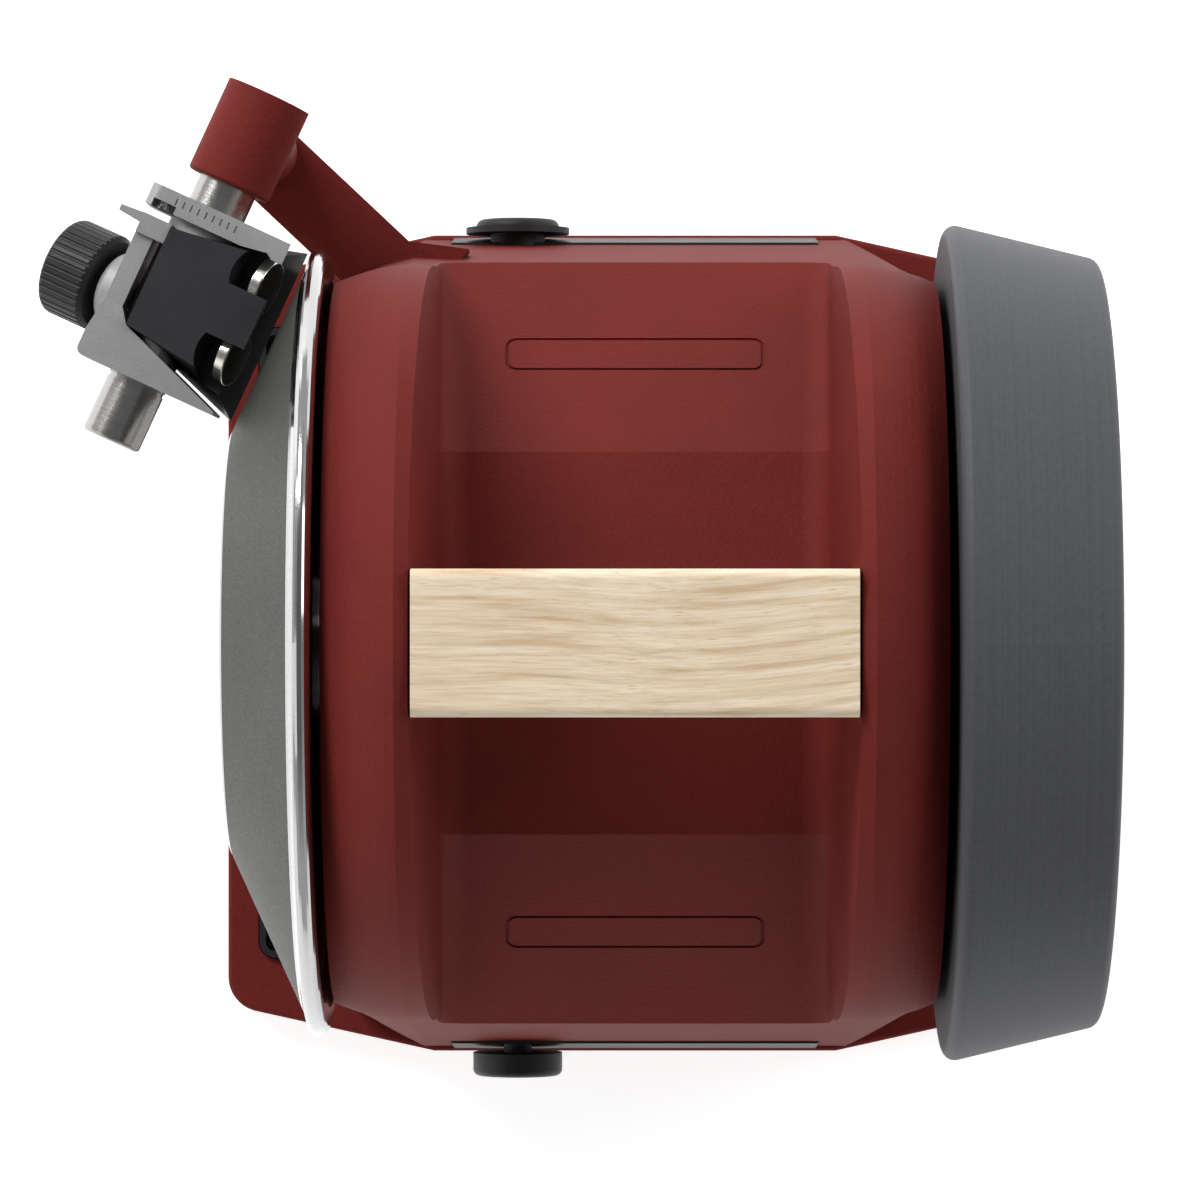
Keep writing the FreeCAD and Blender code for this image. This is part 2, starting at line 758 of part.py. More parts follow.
def tray_block(grow, z0, height, corner):
    block = rounded_block(tray_width + 2 * grow, 2 * (tray_half_y + grow), corner, height)
    block.translate(V(tray_left_x + tray_width / 2, 0, z0))
    return block


# ---- pieces fixed to the housing -----------------------------------------------------------------
def handle():
    half = handle_length / 2
    bar = box(-half, half, -handle_width / 2, handle_width / 2, handle_top_z - handle_thick, handle_top_z)
    lengthwise = [e for e in bar.Edges if abs(e.tangentAt(e.FirstParameter).x) > 0.99]
    bar = bar.makeFillet(handle_edge_r, lengthwise)
    bores = [handle_screw(x, y, z, 0.0)[0] for x, y, z in handle_screw_spots()]
    return bar.cut(bores)


def handle_screws():
    screws = []
    for sx, y, z in handle_screw_spots():
        shank, head = handle_screw(sx, y, z)
        key = hexagon(3.0, 0, 2.0)
        key.translate(V(sx * (cheek_crest_x + 1.5 + 2.2) - 1.0, y, z))
        screws.append(union([shank, head]).cut(key))
    return screws


def bottom_cover():
    plate = cover_plate(0.0, flange_low, cover_thick)
    hole_r = cover_screw_r + 0.2
    holes = [rod(hole_r, (x, y, flange_low - 1), (x, y, cover_top + 1)) for x, y in cover_posts()]
    slots = []
    for k in range(vent_count):
        y = vent_pitch * (k - (vent_count - 1) / 2)
        slots.append(box(vent_left_x, vent_left_x + vent_length, y - vent_width / 2, y + vent_width / 2,
                         flange_low - 1, cover_top + 1))
    return plate.cut(holes + slots)


def feet():
    """Rubber feet pressed up against the underside of the flange."""
    rings = []
    for sx in (-1, 1):
        for sy in (-1, 1):
            foot = rod(foot_r, (sx * foot_x, sy * foot_y, bench_z), (sx * foot_x, sy * foot_y, flange_low))
            low = [e for e in foot.Edges if all(abs(v.Z - bench_z) < 0.01 for v in e.Vertexes)]
            rings.append(foot.makeFillet(0.6, low))
    return rings


def cover_screws():
    screws = []
    for x, y in cover_posts():
        shank = rod(cover_screw_r, (x, y, flange_low - 1.2), (x, y, cover_post_top_z - 8))
        head = rod(cover_screw_r * 1.9, (x, y, flange_low - 1.2), (x, y, flange_low))
        cross = box(x - 0.5, x + 0.5, y - 2.4, y + 2.4, flange_low - 2, flange_low - 0.5)
        other = box(x - 2.4, x + 2.4, y - 0.5, y + 0.5, flange_low - 2, flange_low - 0.5)
        screws.append(union([shank, head]).cut([cross, other]))
    return screws


def rear_fascia():
    plate = fascia_outline(0.0, fascia_proud, fascia_proud - fascia_thick)
    ends = [e for e in plate.Edges if abs(e.tangentAt(e.FirstParameter).z) > 0.9
            and e.CenterOfMass.y > wall_y(flange_top + fascia_height / 2) + 0.3]
    plate = plate.makeChamfer(fascia_proud * 0.8, ends)
    return plate.cut(rod(gland_bore_r + 2.2, (control_x, 60, control_z), (control_x, 95, control_z)))


def front_fascia():
    plate = fascia_outline(0.0, fascia_proud, fascia_proud - fascia_thick)
    ends = [e for e in plate.Edges if abs(e.tangentAt(e.FirstParameter).z) > 0.9
            and e.CenterOfMass.y > wall_y(flange_top + fascia_height / 2) + 0.3]
    plate = mirrored_y(plate.makeChamfer(fascia_proud * 0.8, ends))
    return plate.cut(rod(switch_stem_r + 0.4, (control_x, -60, control_z), (control_x, -95, control_z)))


def switch_inner_y():
    """Front face of the switch's body, just clear of the leaning front wall."""
    return gap - inner_wall_y(control_z + switch_half_z)


def switch_body():
    y1 = switch_inner_y()
    body = box(control_x - switch_half_x, control_x + switch_half_x, y1, y1 + switch_depth,
               control_z - switch_half_z, control_z + switch_half_z)
    tabs = [box(control_x + dx - 0.4, control_x + dx + 0.4, y1 + switch_depth - 1, y1 + switch_depth + 7,
                control_z - 3, control_z + 3) for dx in (-switch_tab_pitch, 0, switch_tab_pitch)]
    collar_y = 0.02 - inner_wall_y(control_z + switch_collar_r)
    collar = rod(switch_collar_r, (control_x, collar_y, control_z), (control_x, y1 + 1, control_z))
    socket = rod(switch_stem_r + run_fit, (control_x, y1 - 2, control_z), (control_x, y1 + 12, control_z))
    return union([body, collar] + tabs).cut(socket)


def switch_knob():
    back = -(wall_y(control_z - knob_r) + fascia_proud + gap)
    skirt = rod(knob_r, (control_x, back, control_z), (control_x, knob_front_y, control_z))
    front = [e for e in skirt.Edges if is_ring_at(e, V(control_x, knob_front_y, control_z))]
    skirt = skirt.makeFillet(1.4, front)
    stem_end = switch_inner_y() + 11
    stem = rod(switch_stem_r, (control_x, back - 0.5, control_z), (control_x, stem_end, control_z))
    mark = box(control_x - 0.5, control_x + 0.5, knob_front_y - 1, knob_front_y + 0.5,
               control_z + 2.5, control_z + knob_r - 2)
    return union([skirt, stem]).cut(mark)


def cable_gland():
    """Rubber inlet through the rear wall: dome, flange, neck and inner ring round one bore."""
    seat = wall_y(control_z - gland_flange_r) + fascia_proud + 0.05
    y_in = wall_y(control_z) - casting_wall - 3.0
    dome = rod(gland_dome_r, (control_x, seat, control_z), (control_x, gland_end_y, control_z))
    tip = [e for e in dome.Edges if is_ring_at(e, V(control_x, gland_end_y, control_z))]
    dome = dome.makeFillet(1.6, tip)
    ring = rod(gland_flange_r, (control_x, seat, control_z), (control_x, seat + 1.3, control_z))
    neck = rod(gland_bore_r + 2.1, (control_x, y_in - 2.0, control_z), (control_x, seat + 0.5, control_z))
    keeper = rod(gland_bore_r + 4.4, (control_x, y_in - 2.0, control_z), (control_x, y_in, control_z))
    bore = rod(gland_bore_r, (control_x, y_in - 5, control_z), (control_x, gland_end_y + 1, control_z))
    return union([dome, ring, neck, keeper]).cut(bore)


def ring_x(outer, inner, x0, x1, y=0.0, z=0.0):
    return rod_x(outer, x0, x1, y, z).cut(rod_x(inner, x0 - 1, x1 + 1, y, z))


def ball_bearing(outer, bore, x0, width, y=0.0, z=0.0):
    """Shielded bearing as one ring with a shallow groove in each face."""
    ring = ring_x(outer, bore, x0, x0 + width, y, z)
    groove_out = outer - (outer - bore) * 0.25
    groove_in = bore + (outer - bore) * 0.25
    grooves = [ring_x(groove_out, groove_in, x0 - 1, x0 + 0.5, y, z),
               ring_x(groove_out, groove_in, x0 + width - 0.5, x0 + width + 1, y, z)]
    return ring.cut(grooves)


def spindle_bearings():
    right = ball_bearing(bearing_r, spindle_r + run_fit, bearing_in_x, bearing_width)
    return [right, mirrored_x(right)]


def bracket(x0):
    """Upright plate on the bottom cover that carries one end of the motor."""
    plate = box(x0, x0 + bracket_thick, motor_y - bracket_half_y, motor_y + bracket_half_y, cover_top,
                motor_z + bracket_above_motor)
    bore = rod_x(motor_bearing_r, x0 - 1, x0 + bracket_thick + 1, motor_y, motor_z)
    return plate, bore


def motor_bracket_left():
    plate, bore = bracket(bracket_left_x)
    return plate.cut([bore] + stator_stays())


def motor_bracket_right():
    x0 = bracket_right_x
    plate, bore = bracket(x0)
    tongue = box(x0, x0 + bracket_thick, idler_y - 10, idler_y + 10, motor_z, idler_z + 11)
    stay = rod_x(idler_bush_r, x0 - 1, x0 + bracket_thick + 1, idler_y, idler_z)
    return union([plate, tongue]).cut([bore, stay] + stator_stays())


def motor_bearings():
    spots = (bracket_left_x - motor_bearing_width + bracket_thick, bracket_right_x)
    return [ball_bearing(motor_bearing_r, motor_shaft_r + run_fit, x, motor_bearing_width, motor_y, motor_z)
            for x in spots]


def idler_bushes():
    inner = bracket_right_x
    outer = cheek_outer_x - casting_wall - idler_bush_width
    bore = idler_shaft_r + run_fit
    return [ring_x(idler_bush_r, bore, inner, inner + bracket_thick, idler_y, idler_z),
            ring_x(idler_bush_r, bore, outer, outer + idler_bush_width, idler_y, idler_z)]


def slot_centres():
    """Centres of the round slots that hold the coil bundles."""
    angles = [2 * pi * k / slot_count for k in range(slot_count)]
    return [(motor_y + slot_circle_r * cos(a), motor_z + slot_circle_r * sin(a)) for a in angles]


def motor_stator():
    """Laminated stack with a round bore, flats for the stay bolts and teeth for the coils."""
    x0 = stator_x - stator_half
    x1 = stator_x + stator_half
    stack = ring_x(stator_r, rotor_r + rotor_gap, x0, x1, motor_y, motor_z)
    slots = []
    for y, z in slot_centres():
        slots.append(rod_x(slot_r, x0 - 1, x1 + 1, y, z))
    return stack.cut(slots + stator_stays(0.1))


def motor_windings():
    """Coil heads at both ends of the stack, joined by the bundles that fill its slots."""
    outer = stator_r - 6.0
    inner = rotor_r + 1.2
    left = stator_x - stator_half
    right = stator_x + stator_half
    heads = [ring_x(outer, inner, left - coil_reach, left, motor_y, motor_z),
             ring_x(outer, inner, right, right + coil_reach, motor_y, motor_z)]
    bundles = []
    for y, z in slot_centres():
        bundles.append(rod_x(slot_r - 0.1, left - 1, right + 1, y, z))
    return union(heads + bundles)


def stator_stays(grow=0.0):
    """Four long screws that clamp the stack between the two brackets."""
    right = bracket_right_x + bracket_thick
    stays = []
    for angle in (15, 165, 225, 315):
        y = motor_y + (stator_r - 2.6) * cos(radians(angle))
        z = motor_z + (stator_r - 2.6) * sin(radians(angle))
        stays.append(rod_x(stay_r + grow, bracket_left_x, right, y, z))
    return stays


def capacitor():
    z = cover_top + capacitor_r + 3
    can = rod_x(capacitor_r, capacitor_left_x, capacitor_left_x + capacitor_length, capacitor_y, z)
    return can.makeFillet(1.5, [e for e in can.Edges if isinstance(e.Curve, Part.Circle)])


def terminal_block():
    half = terminal_width / 2
    top = cover_top + terminal_height
    block = box(terminal_x, terminal_x + terminal_length, terminal_y - half, terminal_y + half,
                cover_top, top)
    wells = []
    for k in range(terminal_count):
        x = terminal_x + terminal_length / 2 + terminal_pitch * (k - (terminal_count - 1) / 2)
        wells.append(rod(2.2, (x, terminal_y, cover_top + 6), (x, terminal_y, top + 1)))
    return block.cut(wells)


def support_bar():
    finish = bar_end + along * bar_length
    bar = Part.makeCylinder(bar_r, bar_length, bar_end, along)
    rings = [e for e in bar.Edges if is_ring_at(e, bar_end) or is_ring_at(e, finish)]
    bar = bar.makeFillet(bar_edge_r, rings)
    groove_at = bar_end + along * bar_groove_t
    groove = Part.makeCylinder(bar_r + 1, bar_groove_width, groove_at, along)
    groove = groove.cut(Part.makeCylinder(bar_r - bar_groove_depth, bar_groove_width, groove_at, along))
    return bar.cut(groove)


# ---- spindle group -------------------------------------------------------------------------------
def spindle():
    left_end = wheel_face_x + 0.6
    right_end = honing_out_x - 1.0
    shaft = union([rod_x(spindle_r, left_end, right_end), rod_x(spindle_body_r, -bearing_in_x, bearing_in_x)])
    ends = [e for e in shaft.Edges if is_ring_at(e, V(left_end, 0, 0)) or is_ring_at(e, V(right_end, 0, 0))]
    return shaft.makeChamfer(0.8, ends)


def spindle_gear():
    return gear(spindle_teeth, gear_width, spindle_body_r, second_stage_x)


def wheel_profile(dip):
    """Half section of the diamond wheel as (x, r), with the cone set back by dip."""
    set_back = dip / cos(cone)
    inner_r = wheel_face_r + 1.0
    outer_r = wheel_cone_r - 1.0
    slope = tan(cone)
    start_x = wheel_face_x + 1.0 * slope
    end_x = cone_end_x - 1.0 * slope
    profile = [(wheel_face_x + hub_seat_depth, spindle_r), (wheel_face_x + hub_seat_depth, nut_recess_r),
               (wheel_face_x, nut_recess_r), (wheel_face_x, wheel_face_r), (start_x, inner_r)]
    if dip > 0:
        profile += [(start_x + set_back, inner_r), (end_x + set_back, outer_r)]
    profile += [(end_x, outer_r), (cone_end_x, wheel_cone_r)]
    return profile


def rim_points():
    """Rounded polished rim from the cone's end over the tip to the back."""
    points = []
    for k in range(1, 13):
        angle = radians(-62 + 12.5 * k)
        half = (wheel_tip_r - wheel_back_r) * 0.5
        points.append((wheel_tip_x + 2.1 * sin(angle), wheel_tip_r - half + half * cos(angle)))
    return points


def grinding_wheel():
    back_mid = (wheel_face_x + wheel_plate + 1, wheel_face_r - 2)
    boss_x = -(bearing_in_x + bearing_width) - left_spacer
    profile = wheel_profile(coating_thick) + rim_points()
    profile += [(wheel_back_x, wheel_back_r), (wheel_back_x - 2.5, wheel_back_r - 4.0), back_mid,
                (back_mid[0], hub_r + 6), (boss_x - 3, hub_r), (boss_x, hub_r), (boss_x, spindle_r)]
    return turned(profile)


def diamond_coating():
    set_back = coating_thick / cos(cone)
    slope = tan(cone)
    start_x = wheel_face_x + slope
    end_x = cone_end_x - slope
    inner_r = wheel_face_r + 1
    outer_r = wheel_cone_r - 1
    profile = [(start_x, inner_r), (start_x + set_back, inner_r), (end_x + set_back, outer_r),
               (end_x, outer_r)]
    return turned(profile)


def honing_hub():
    x0 = bearing_in_x + bearing_width + right_spacer
    seat = honing_out_x - hub_seat_depth - 0.4
    face = honing_out_x - 0.4
    profile = [(x0, spindle_r), (x0, honing_bore_r), (face - 3, honing_bore_r), (face - 3, honing_bore_r + 7),
               (face, honing_bore_r + 7), (face, nut_recess_r), (seat, nut_recess_r), (seat, spindle_r)]
    return turned(profile)


def honing_wheel():
    face = honing_out_x - 0.4
    r0 = honing_edge_r
    profile = [(honing_in_x, honing_bore_r), (honing_in_x, honing_in_r - r0)]
    profile += edge_arc((honing_in_x + r0, honing_in_r - r0), r0, 180, 90 - 10.6)
    profile += edge_arc((honing_out_x - r0, honing_out_r - r0 - 0.2), r0, 90 - 10.6, 0)
    profile += [(honing_out_x, honing_bore_r + 9), (honing_out_x - 0.4, honing_bore_r + 7),
                (face - 3, honing_bore_r + 7), (face - 3, honing_bore_r)]
    return turned(profile)


def edge_arc(centre, radius, start, finish, steps=6):
    """Points of a rounded edge in the (x, r) plane, angles from +x towards +r."""
    points = []
    for k in range(steps + 1):
        angle = radians(start + (finish - start) * k / steps)
        points.append((centre[0] + radius * cos(angle), centre[1] + radius * sin(angle)))
    return points


def wheel_washers():
    seat_left = wheel_face_x + hub_seat_depth
    seat_right = honing_out_x - hub_seat_depth - 0.4
    return [ring_x(washer_r, spindle_r + 0.2, seat_left - washer_thick, seat_left),
            ring_x(washer_r, spindle_r + 0.2, seat_right, seat_right + washer_thick)]


def wheel_nuts():
    left = wheel_face_x + hub_seat_depth - washer_thick - nut_thick
    right = honing_out_x - hub_seat_depth - 0.4 + washer_thick
    bore_left = rod_x(spindle_r, left - 1, left + nut_thick + 1)
    bore_right = rod_x(spindle_r, right - 1, right + nut_thick + 1)
    return [hexagon(nut_across_flats, left, nut_thick).cut(bore_left),
            hexagon(nut_across_flats, right, nut_thick).cut(bore_right)]


def spindle_spacers():
    bearing_face = bearing_in_x + bearing_width
    return [ring_x(spacer_r, spindle_r + 0.02, bearing_face, bearing_face + right_spacer),
            ring_x(spacer_r, spindle_r + 0.02, -bearing_face - left_spacer, -bearing_face)]


# ---- idler and motor shafts ----------------------------------------------------------------------
def idler_shaft():
    right = cheek_outer_x - casting_wall - gap
    return rod_x(idler_shaft_r, bracket_right_x, right, idler_y, idler_z)


def at_idler(shape):
    shape.translate(V(0, idler_y, idler_z))
    return shape


def at_motor(shape):
    shape.translate(V(0, motor_y, motor_z))
    return shape


def mesh_turn(teeth, angle, other_teeth):
    """Turn of a gear that puts a gap opposite a tooth of the gear it meets in this direction."""
    meet = radians(angle)
    partner = 2 * pi / other_teeth
    phase = (meet % partner) / partner
    return meet + pi + (2 * pi / teeth) * (0.5 + phase)


def idler_pinion():
    turn = mesh_turn(pinion_teeth, idler_direction(), spindle_teeth)
    return at_idler(gear(pinion_teeth, gear_width + 1, idler_shaft_r, second_stage_x - 0.5, turn))


def idler_direction():
    return degrees(atan2(idler_z, idler_y))


def idler_gear():
    return at_idler(gear(idler_teeth, gear_width - 1.5, idler_shaft_r, first_stage_x))


def motor_pinion():
    turn = mesh_turn(pinion_teeth, -90.0, idler_teeth)
    return at_motor(gear(pinion_teeth, gear_width, motor_shaft_r, first_stage_x - 0.7, turn))


def motor_shaft():
    left = bracket_left_x - fan_width - 5
    right = first_stage_x + gear_width
    return rod_x(motor_shaft_r, left, right, motor_y, motor_z)


def rotor():
    """Rotor stack with its two short-circuit rings."""
    stack = ring_x(rotor_r, motor_shaft_r, stator_x - stator_half, stator_x + stator_half, motor_y, motor_z)
    left = stator_x - stator_half
    right = stator_x + stator_half
    rings = [ring_x(rotor_r - 1, rotor_r - 7, left - 3, left, motor_y, motor_z),
             ring_x(rotor_r - 1, rotor_r - 7, right, right + 3, motor_y, motor_z)]
    return union([stack] + rings)


def cooling_fan():
    x1 = bracket_left_x - 4.5
    x0 = x1 - fan_width
    hub = ring_x(fan_hub_r, motor_shaft_r, x0, x1)
    disc = ring_x(fan_r, motor_shaft_r, x1 - 1.5, x1)
    blades = []
    for k in range(fan_blades):
        blade = box(x0, x1, fan_hub_r - 1, fan_r, -0.7, 0.7)
        blade.rotate(V(0, 0, 0), V(1, 0, 0), 360.0 / fan_blades * k)
        blades.append(blade)
    return at_motor(union([hub, disc] + blades))


# ---- knife guide, drawn as x = v, y = t, z = w ---------------------------------------------------
def rod_t(r, t0, t1):
    return rod(r, (0, t0, 0), (0, t1, 0))


def guide_carriage():
    """Sleeve on the bar with the rear plate that carries the angle marks."""
    plate_t = guide_rear_t - guide_plate_thick
    outline = [(guide_left_v, plate_t, guide_low_w), (guide_right_v - 6, plate_t, guide_low_w),
               (guide_right_v, plate_t, guide_high_w), (guide_left_v, plate_t, guide_high_w)]
    plate = prism(outline, (0, guide_plate_thick, 0))
    corners = [e for e in plate.Edges if abs(e.tangentAt(e.FirstParameter).y) > 0.99
               and e.CenterOfMass.x < guide_left_v + 0.1]
    plate = plate.makeFillet(2.2, corners)
    marks = []
    for k in range(mark_count):
        v = mark_start_v + mark_pitch * k
        marks.append(box(v - 0.15, v + 0.15, guide_rear_t - 2.6, guide_rear_t - 1.2, guide_high_w - 0.3, 20))
    sleeve = rod_t(sleeve_r, guide_front_t + 9.5, guide_rear_t - 0.5)
    nut_well = box(guide_left_v + 1.5, -sleeve_r + 1.0, plate_t - 0.1, plate_t + 1.6, 2.0, guide_high_w + 1)
    body = union([plate, sleeve]).cut(marks + [rod_t(bar_r + slide_fit, 0, 60), nut_well])
    return guide_place(body.cut(block_at_tilts()))


def block_at_tilts():
    """Room that the guide block and its rear disc take on the rear plate over the whole tilt."""
    room = []
    disc_room = disc_place(Part.makeCylinder(disc_r + gap, disc_thick + 2 * gap, V(0, 0, -gap)), 1)
    for tilt in (-tilt_down, -tilt_down / 2, 0.0, tilt_up / 2, tilt_up):
        swung = block_envelope(gap).cut(rod_t(sleeve_r + 0.02, 0, 60))
        swung.rotate(V(0, 0, 0), V(0, 1, 0), -tilt)
        room.append(swung)
        disc = disc_room.copy()
        disc.rotate(V(0, 0, 0), V(0, 1, 0), -tilt)
        room.append(disc)
    return room


def gap_screw():
    """Small screw seen in the gap between the rear plate and the cradle."""
    v = gap_screw_v
    w = gap_screw_w
    plate_t = guide_rear_t - guide_plate_thick
    head = rod(1.5, (v, plate_t + 0.25, w), (v, plate_t + 1.6, w))
    shank = rod(0.8, (v, plate_t + 1.5, w), (v, guide_rear_t - 0.6, w))
    slot = box(v - 0.25, v + 0.25, plate_t, plate_t + 0.7, w - 2.4, w + 2.6)
    return guide_place(union([head, shank]).cut(slot))


def gap_screw_bore():
    v = gap_screw_v
    w = gap_screw_w
    return rod(0.8, (v, guide_rear_t - 10, w), (v, guide_rear_t - 0.6, w))


def front_cheek():
    """Wedge-shaped front cheek of the cradle, thick at the knob side."""
    outline = [(guide_left_v, guide_front_t), (guide_right_v, guide_front_t),
               (guide_right_v, guide_front_t + 0.6),
               (block_left_v, block_front_t - 0.1), (block_left_v - 2.3, block_front_t + 3),
               (guide_left_v + 1.0, block_front_t + 3), (guide_left_v, block_front_t - 4)]
    cheek_block = prism([(v, t, guide_low_w) for v, t in outline], (0, 0, guide_high_w - guide_low_w))
    upright = [e for e in cheek_block.Edges if is_upright_at(e, guide_left_v, guide_front_t)]
    return cheek_block.makeFillet(1.6, upright)


def guide_cradle():
    """Zinc bracket that tilts on the sleeve: front cheek, web, rear lug with its pointer."""
    web = box(web_left_v, web_right_v, block_front_t + 1, lug_rear_t, guide_low_w + 1, guide_high_w - 1)
    lug = box(web_left_v, block_left_v - 0.1, lug_front_t, lug_rear_t, guide_low_w, guide_high_w)
    pointer_w = guide_high_w - pointer_thick
    pointer = prism([(web_left_v + 1, lug_rear_t - 2.2, pointer_w),
                     (pointer_reach_v, lug_rear_t - 1.6, pointer_w),
                     (pointer_reach_v, lug_rear_t - 0.4, pointer_w),
                     (web_left_v + 1, lug_rear_t, pointer_w)], (0, 0, pointer_thick))
    boss = clamp_axis_rod(clamp_boss_r, 10.0, clamp_boss_end)
    dome = boss.makeFillet(1.8, [e for e in boss.Edges if is_far_ring(e, clamp_boss_end)])
    body = union([front_cheek(), web, lug, pointer, dome])
    body = body.cut([rod_t(sleeve_r + 0.1, guide_front_t + 9.2, 60), rod_t(bar_r + gap, 0, 60)])
    knob_room = clamp_axis_rod(clamp_knob_r + gap, clamp_knob_start - gap, 40)
    hub_room = clamp_axis_rod(clamp_hub_r + gap, clamp_boss_end, 40)
    stem_bore = clamp_axis_rod(clamp_screw_r + run_fit, 0, 40)
    return guide_place(body.cut([block_envelope(0.05), knob_room, hub_room, stem_bore]))


def clamp_axis():
    slope = radians(clamp_slope)
    return V(-cos(slope), 0, -sin(slope))


def clamp_axis_rod(r, start, finish):
    axis = clamp_axis()
    return Part.makeCylinder(r, finish - start, V(0, clamp_t, 0) + axis * start, axis)


def is_far_ring(edge, distance):
    return is_ring_at(edge, V(0, clamp_t, 0) + clamp_axis() * distance)


def block_loft(grow, top_w, foot_w):
    """Flared body of the guide block between its top and its foot."""
    mirror_t = block_front_t + block_rear_t
    left = block_left_v - grow
    top_front = block_front_t - 2.4 - grow
    foot_front = block_foot_front_t - grow
    front = block_front_t - grow
    rear = block_rear_t + grow
    top_v = block_top_v + grow
    foot_v = block_foot_v + grow
    foot_rear = mirror_t - foot_front - 1.4
    top = polygon([(left, front, top_w), (top_v, top_front, top_w), (top_v, mirror_t - top_front, top_w),
                   (left, rear, top_w)])
    foot = polygon([(left, front, foot_w), (foot_v, foot_front, foot_w), (foot_v, foot_rear, foot_w),
                    (left, rear, foot_w)])
    return Part.makeLoft([foot, top], True, True)


def block_envelope(grow):
    return block_loft(grow, block_top_w + grow, block_foot_w - grow)


def disc_place(shape, side):
    """Puts a disc drawn on the z axis into the sloping face; side is -1 in front and 1 behind."""
    lean = degrees(atan2(block_foot_v - block_top_v, block_top_w - block_foot_w))
    shape.rotate(V(0, 0, 0), V(0, 1, 0), 90 - lean)
    middle_t = (block_front_t + block_rear_t) / 2
    middle_v = (block_foot_v + block_top_v) / 2 - disc_set_back
    shape.translate(V(middle_v, middle_t + side * disc_pitch / 2, (block_top_w + block_foot_w) / 2 + 2.2))
    return shape


def guide_block():
    """Black block: flared body, a tongue in the middle and a scoop over each disc."""
    middle_t = (block_front_t + block_rear_t) / 2
    body = block_envelope(0.0)
    tongue = box(block_top_v - 4, tongue_reach_v, middle_t - tongue_width / 2, middle_t + tongue_width / 2,
                 block_top_w - 4.5, block_top_w)
    tongue_low = prism([(block_top_v - 4, middle_t - tongue_width / 2, block_top_w - 4.4),
                        (tongue_reach_v, middle_t - tongue_width / 2, block_top_w - 4.4),
                        (block_top_v + 2.4, middle_t - tongue_width / 2, block_top_w - 10)],
                       (0, tongue_width, 0))
    body = body.fuse([tongue, tongue_low])
    cuts = [rod_t(sleeve_r + 0.1, 0, 60)]
    for side in (-1, 1):
        near = middle_t + side * tongue_width / 2
        far = near + side * 13.0
        t0 = min(near, far)
        t1 = max(near, far)
        back = 8.6
        scoop = prism([(back + 2.0, t0, block_top_w - 9.5), (back - 1.2, t0, block_top_w + 1),
                       (block_foot_v + 6, t0, block_top_w + 1), (block_foot_v + 6, t0, block_top_w - 6.5)],
                      (0, t1 - t0, 0))
        keep_t = middle_t + side * (disc_pitch / 2 + 4.6)
        sweep_t = keep_t - side * 4
        sweep = rod(7.6, (back + 7.5, sweep_t, block_top_w - 12), (back + 7.5, sweep_t, block_top_w + 9.5))
        cuts.append(scoop.common(sweep))
        cuts.append(disc_place(Part.makeCylinder(disc_r, disc_thick + 1.5, V(0, 0, 0)), side))
    body = body.cut(cuts)
    return guide_place(body.cut(box(guide_right_v + 9, 40, -10, 80, -30, 30)))


def holding_discs():
    discs = []
    for side in (-1, 1):
        disc = Part.makeCylinder(disc_r, disc_thick)
        disc = disc.makeFillet(0.35, [e for e in disc.Edges if isinstance(e.Curve, Part.Circle)])
        discs.append(guide_place(disc_place(disc, side)))
    return discs


def clamp_knob():
    """Knurled knob with a chamfered inner face and a bore for the hub of its screw."""
    start = clamp_knob_start
    body = clamp_axis_rod(clamp_knob_r, start, start + clamp_knob_length)
    body = body.makeChamfer(1.0, [e for e in body.Edges if is_far_ring(e, start)])
    body = body.makeFillet(1.2, [e for e in body.Edges if is_far_ring(e, start + clamp_knob_length)])
    notch = Part.makeCylinder(0.42, clamp_knob_length + 4, V(clamp_knob_r + 0.08, 0, -2))
    notches = []
    axis = clamp_axis()
    for k in range(knurl_count):
        one = notch.copy()
        one.rotate(V(0, 0, 0), V(0, 0, 1), 360.0 / knurl_count * k)
        notches.append(one)
    cutter = Part.makeCompound(notches)
    cutter.Placement = FreeCAD.Placement(V(0, clamp_t, 0) + axis * start, FreeCAD.Rotation(V(0, 0, 1), axis))
    bore = clamp_axis_rod(clamp_hub_r, start - 1, start + clamp_hub_in)
    return guide_place(body.cut([cutter, bore]))


def clamp_screw():
    """Threaded stem with the pale hub that shows between knob and cradle."""
    stem = clamp_axis_rod(clamp_screw_r, sleeve_r + 0.25, clamp_knob_start)
    hub = clamp_axis_rod(clamp_hub_r, clamp_boss_end + gap, clamp_knob_start + clamp_hub_in)
    return guide_place(union([stem, hub]))


# ---- dust tray -----------------------------------------------------------------------------------
def dust_tray():
    z0 = flange_top - tray_pocket_depth + 0.02
    height = flange_top + tray_proud - z0
    outer = tray_block(0.0, z0, height, tray_corner_r)
    inner = tray_block(-tray_wall, z0 + tray_wall, height, tray_corner_r - tray_wall)
    return outer.cut(inner)


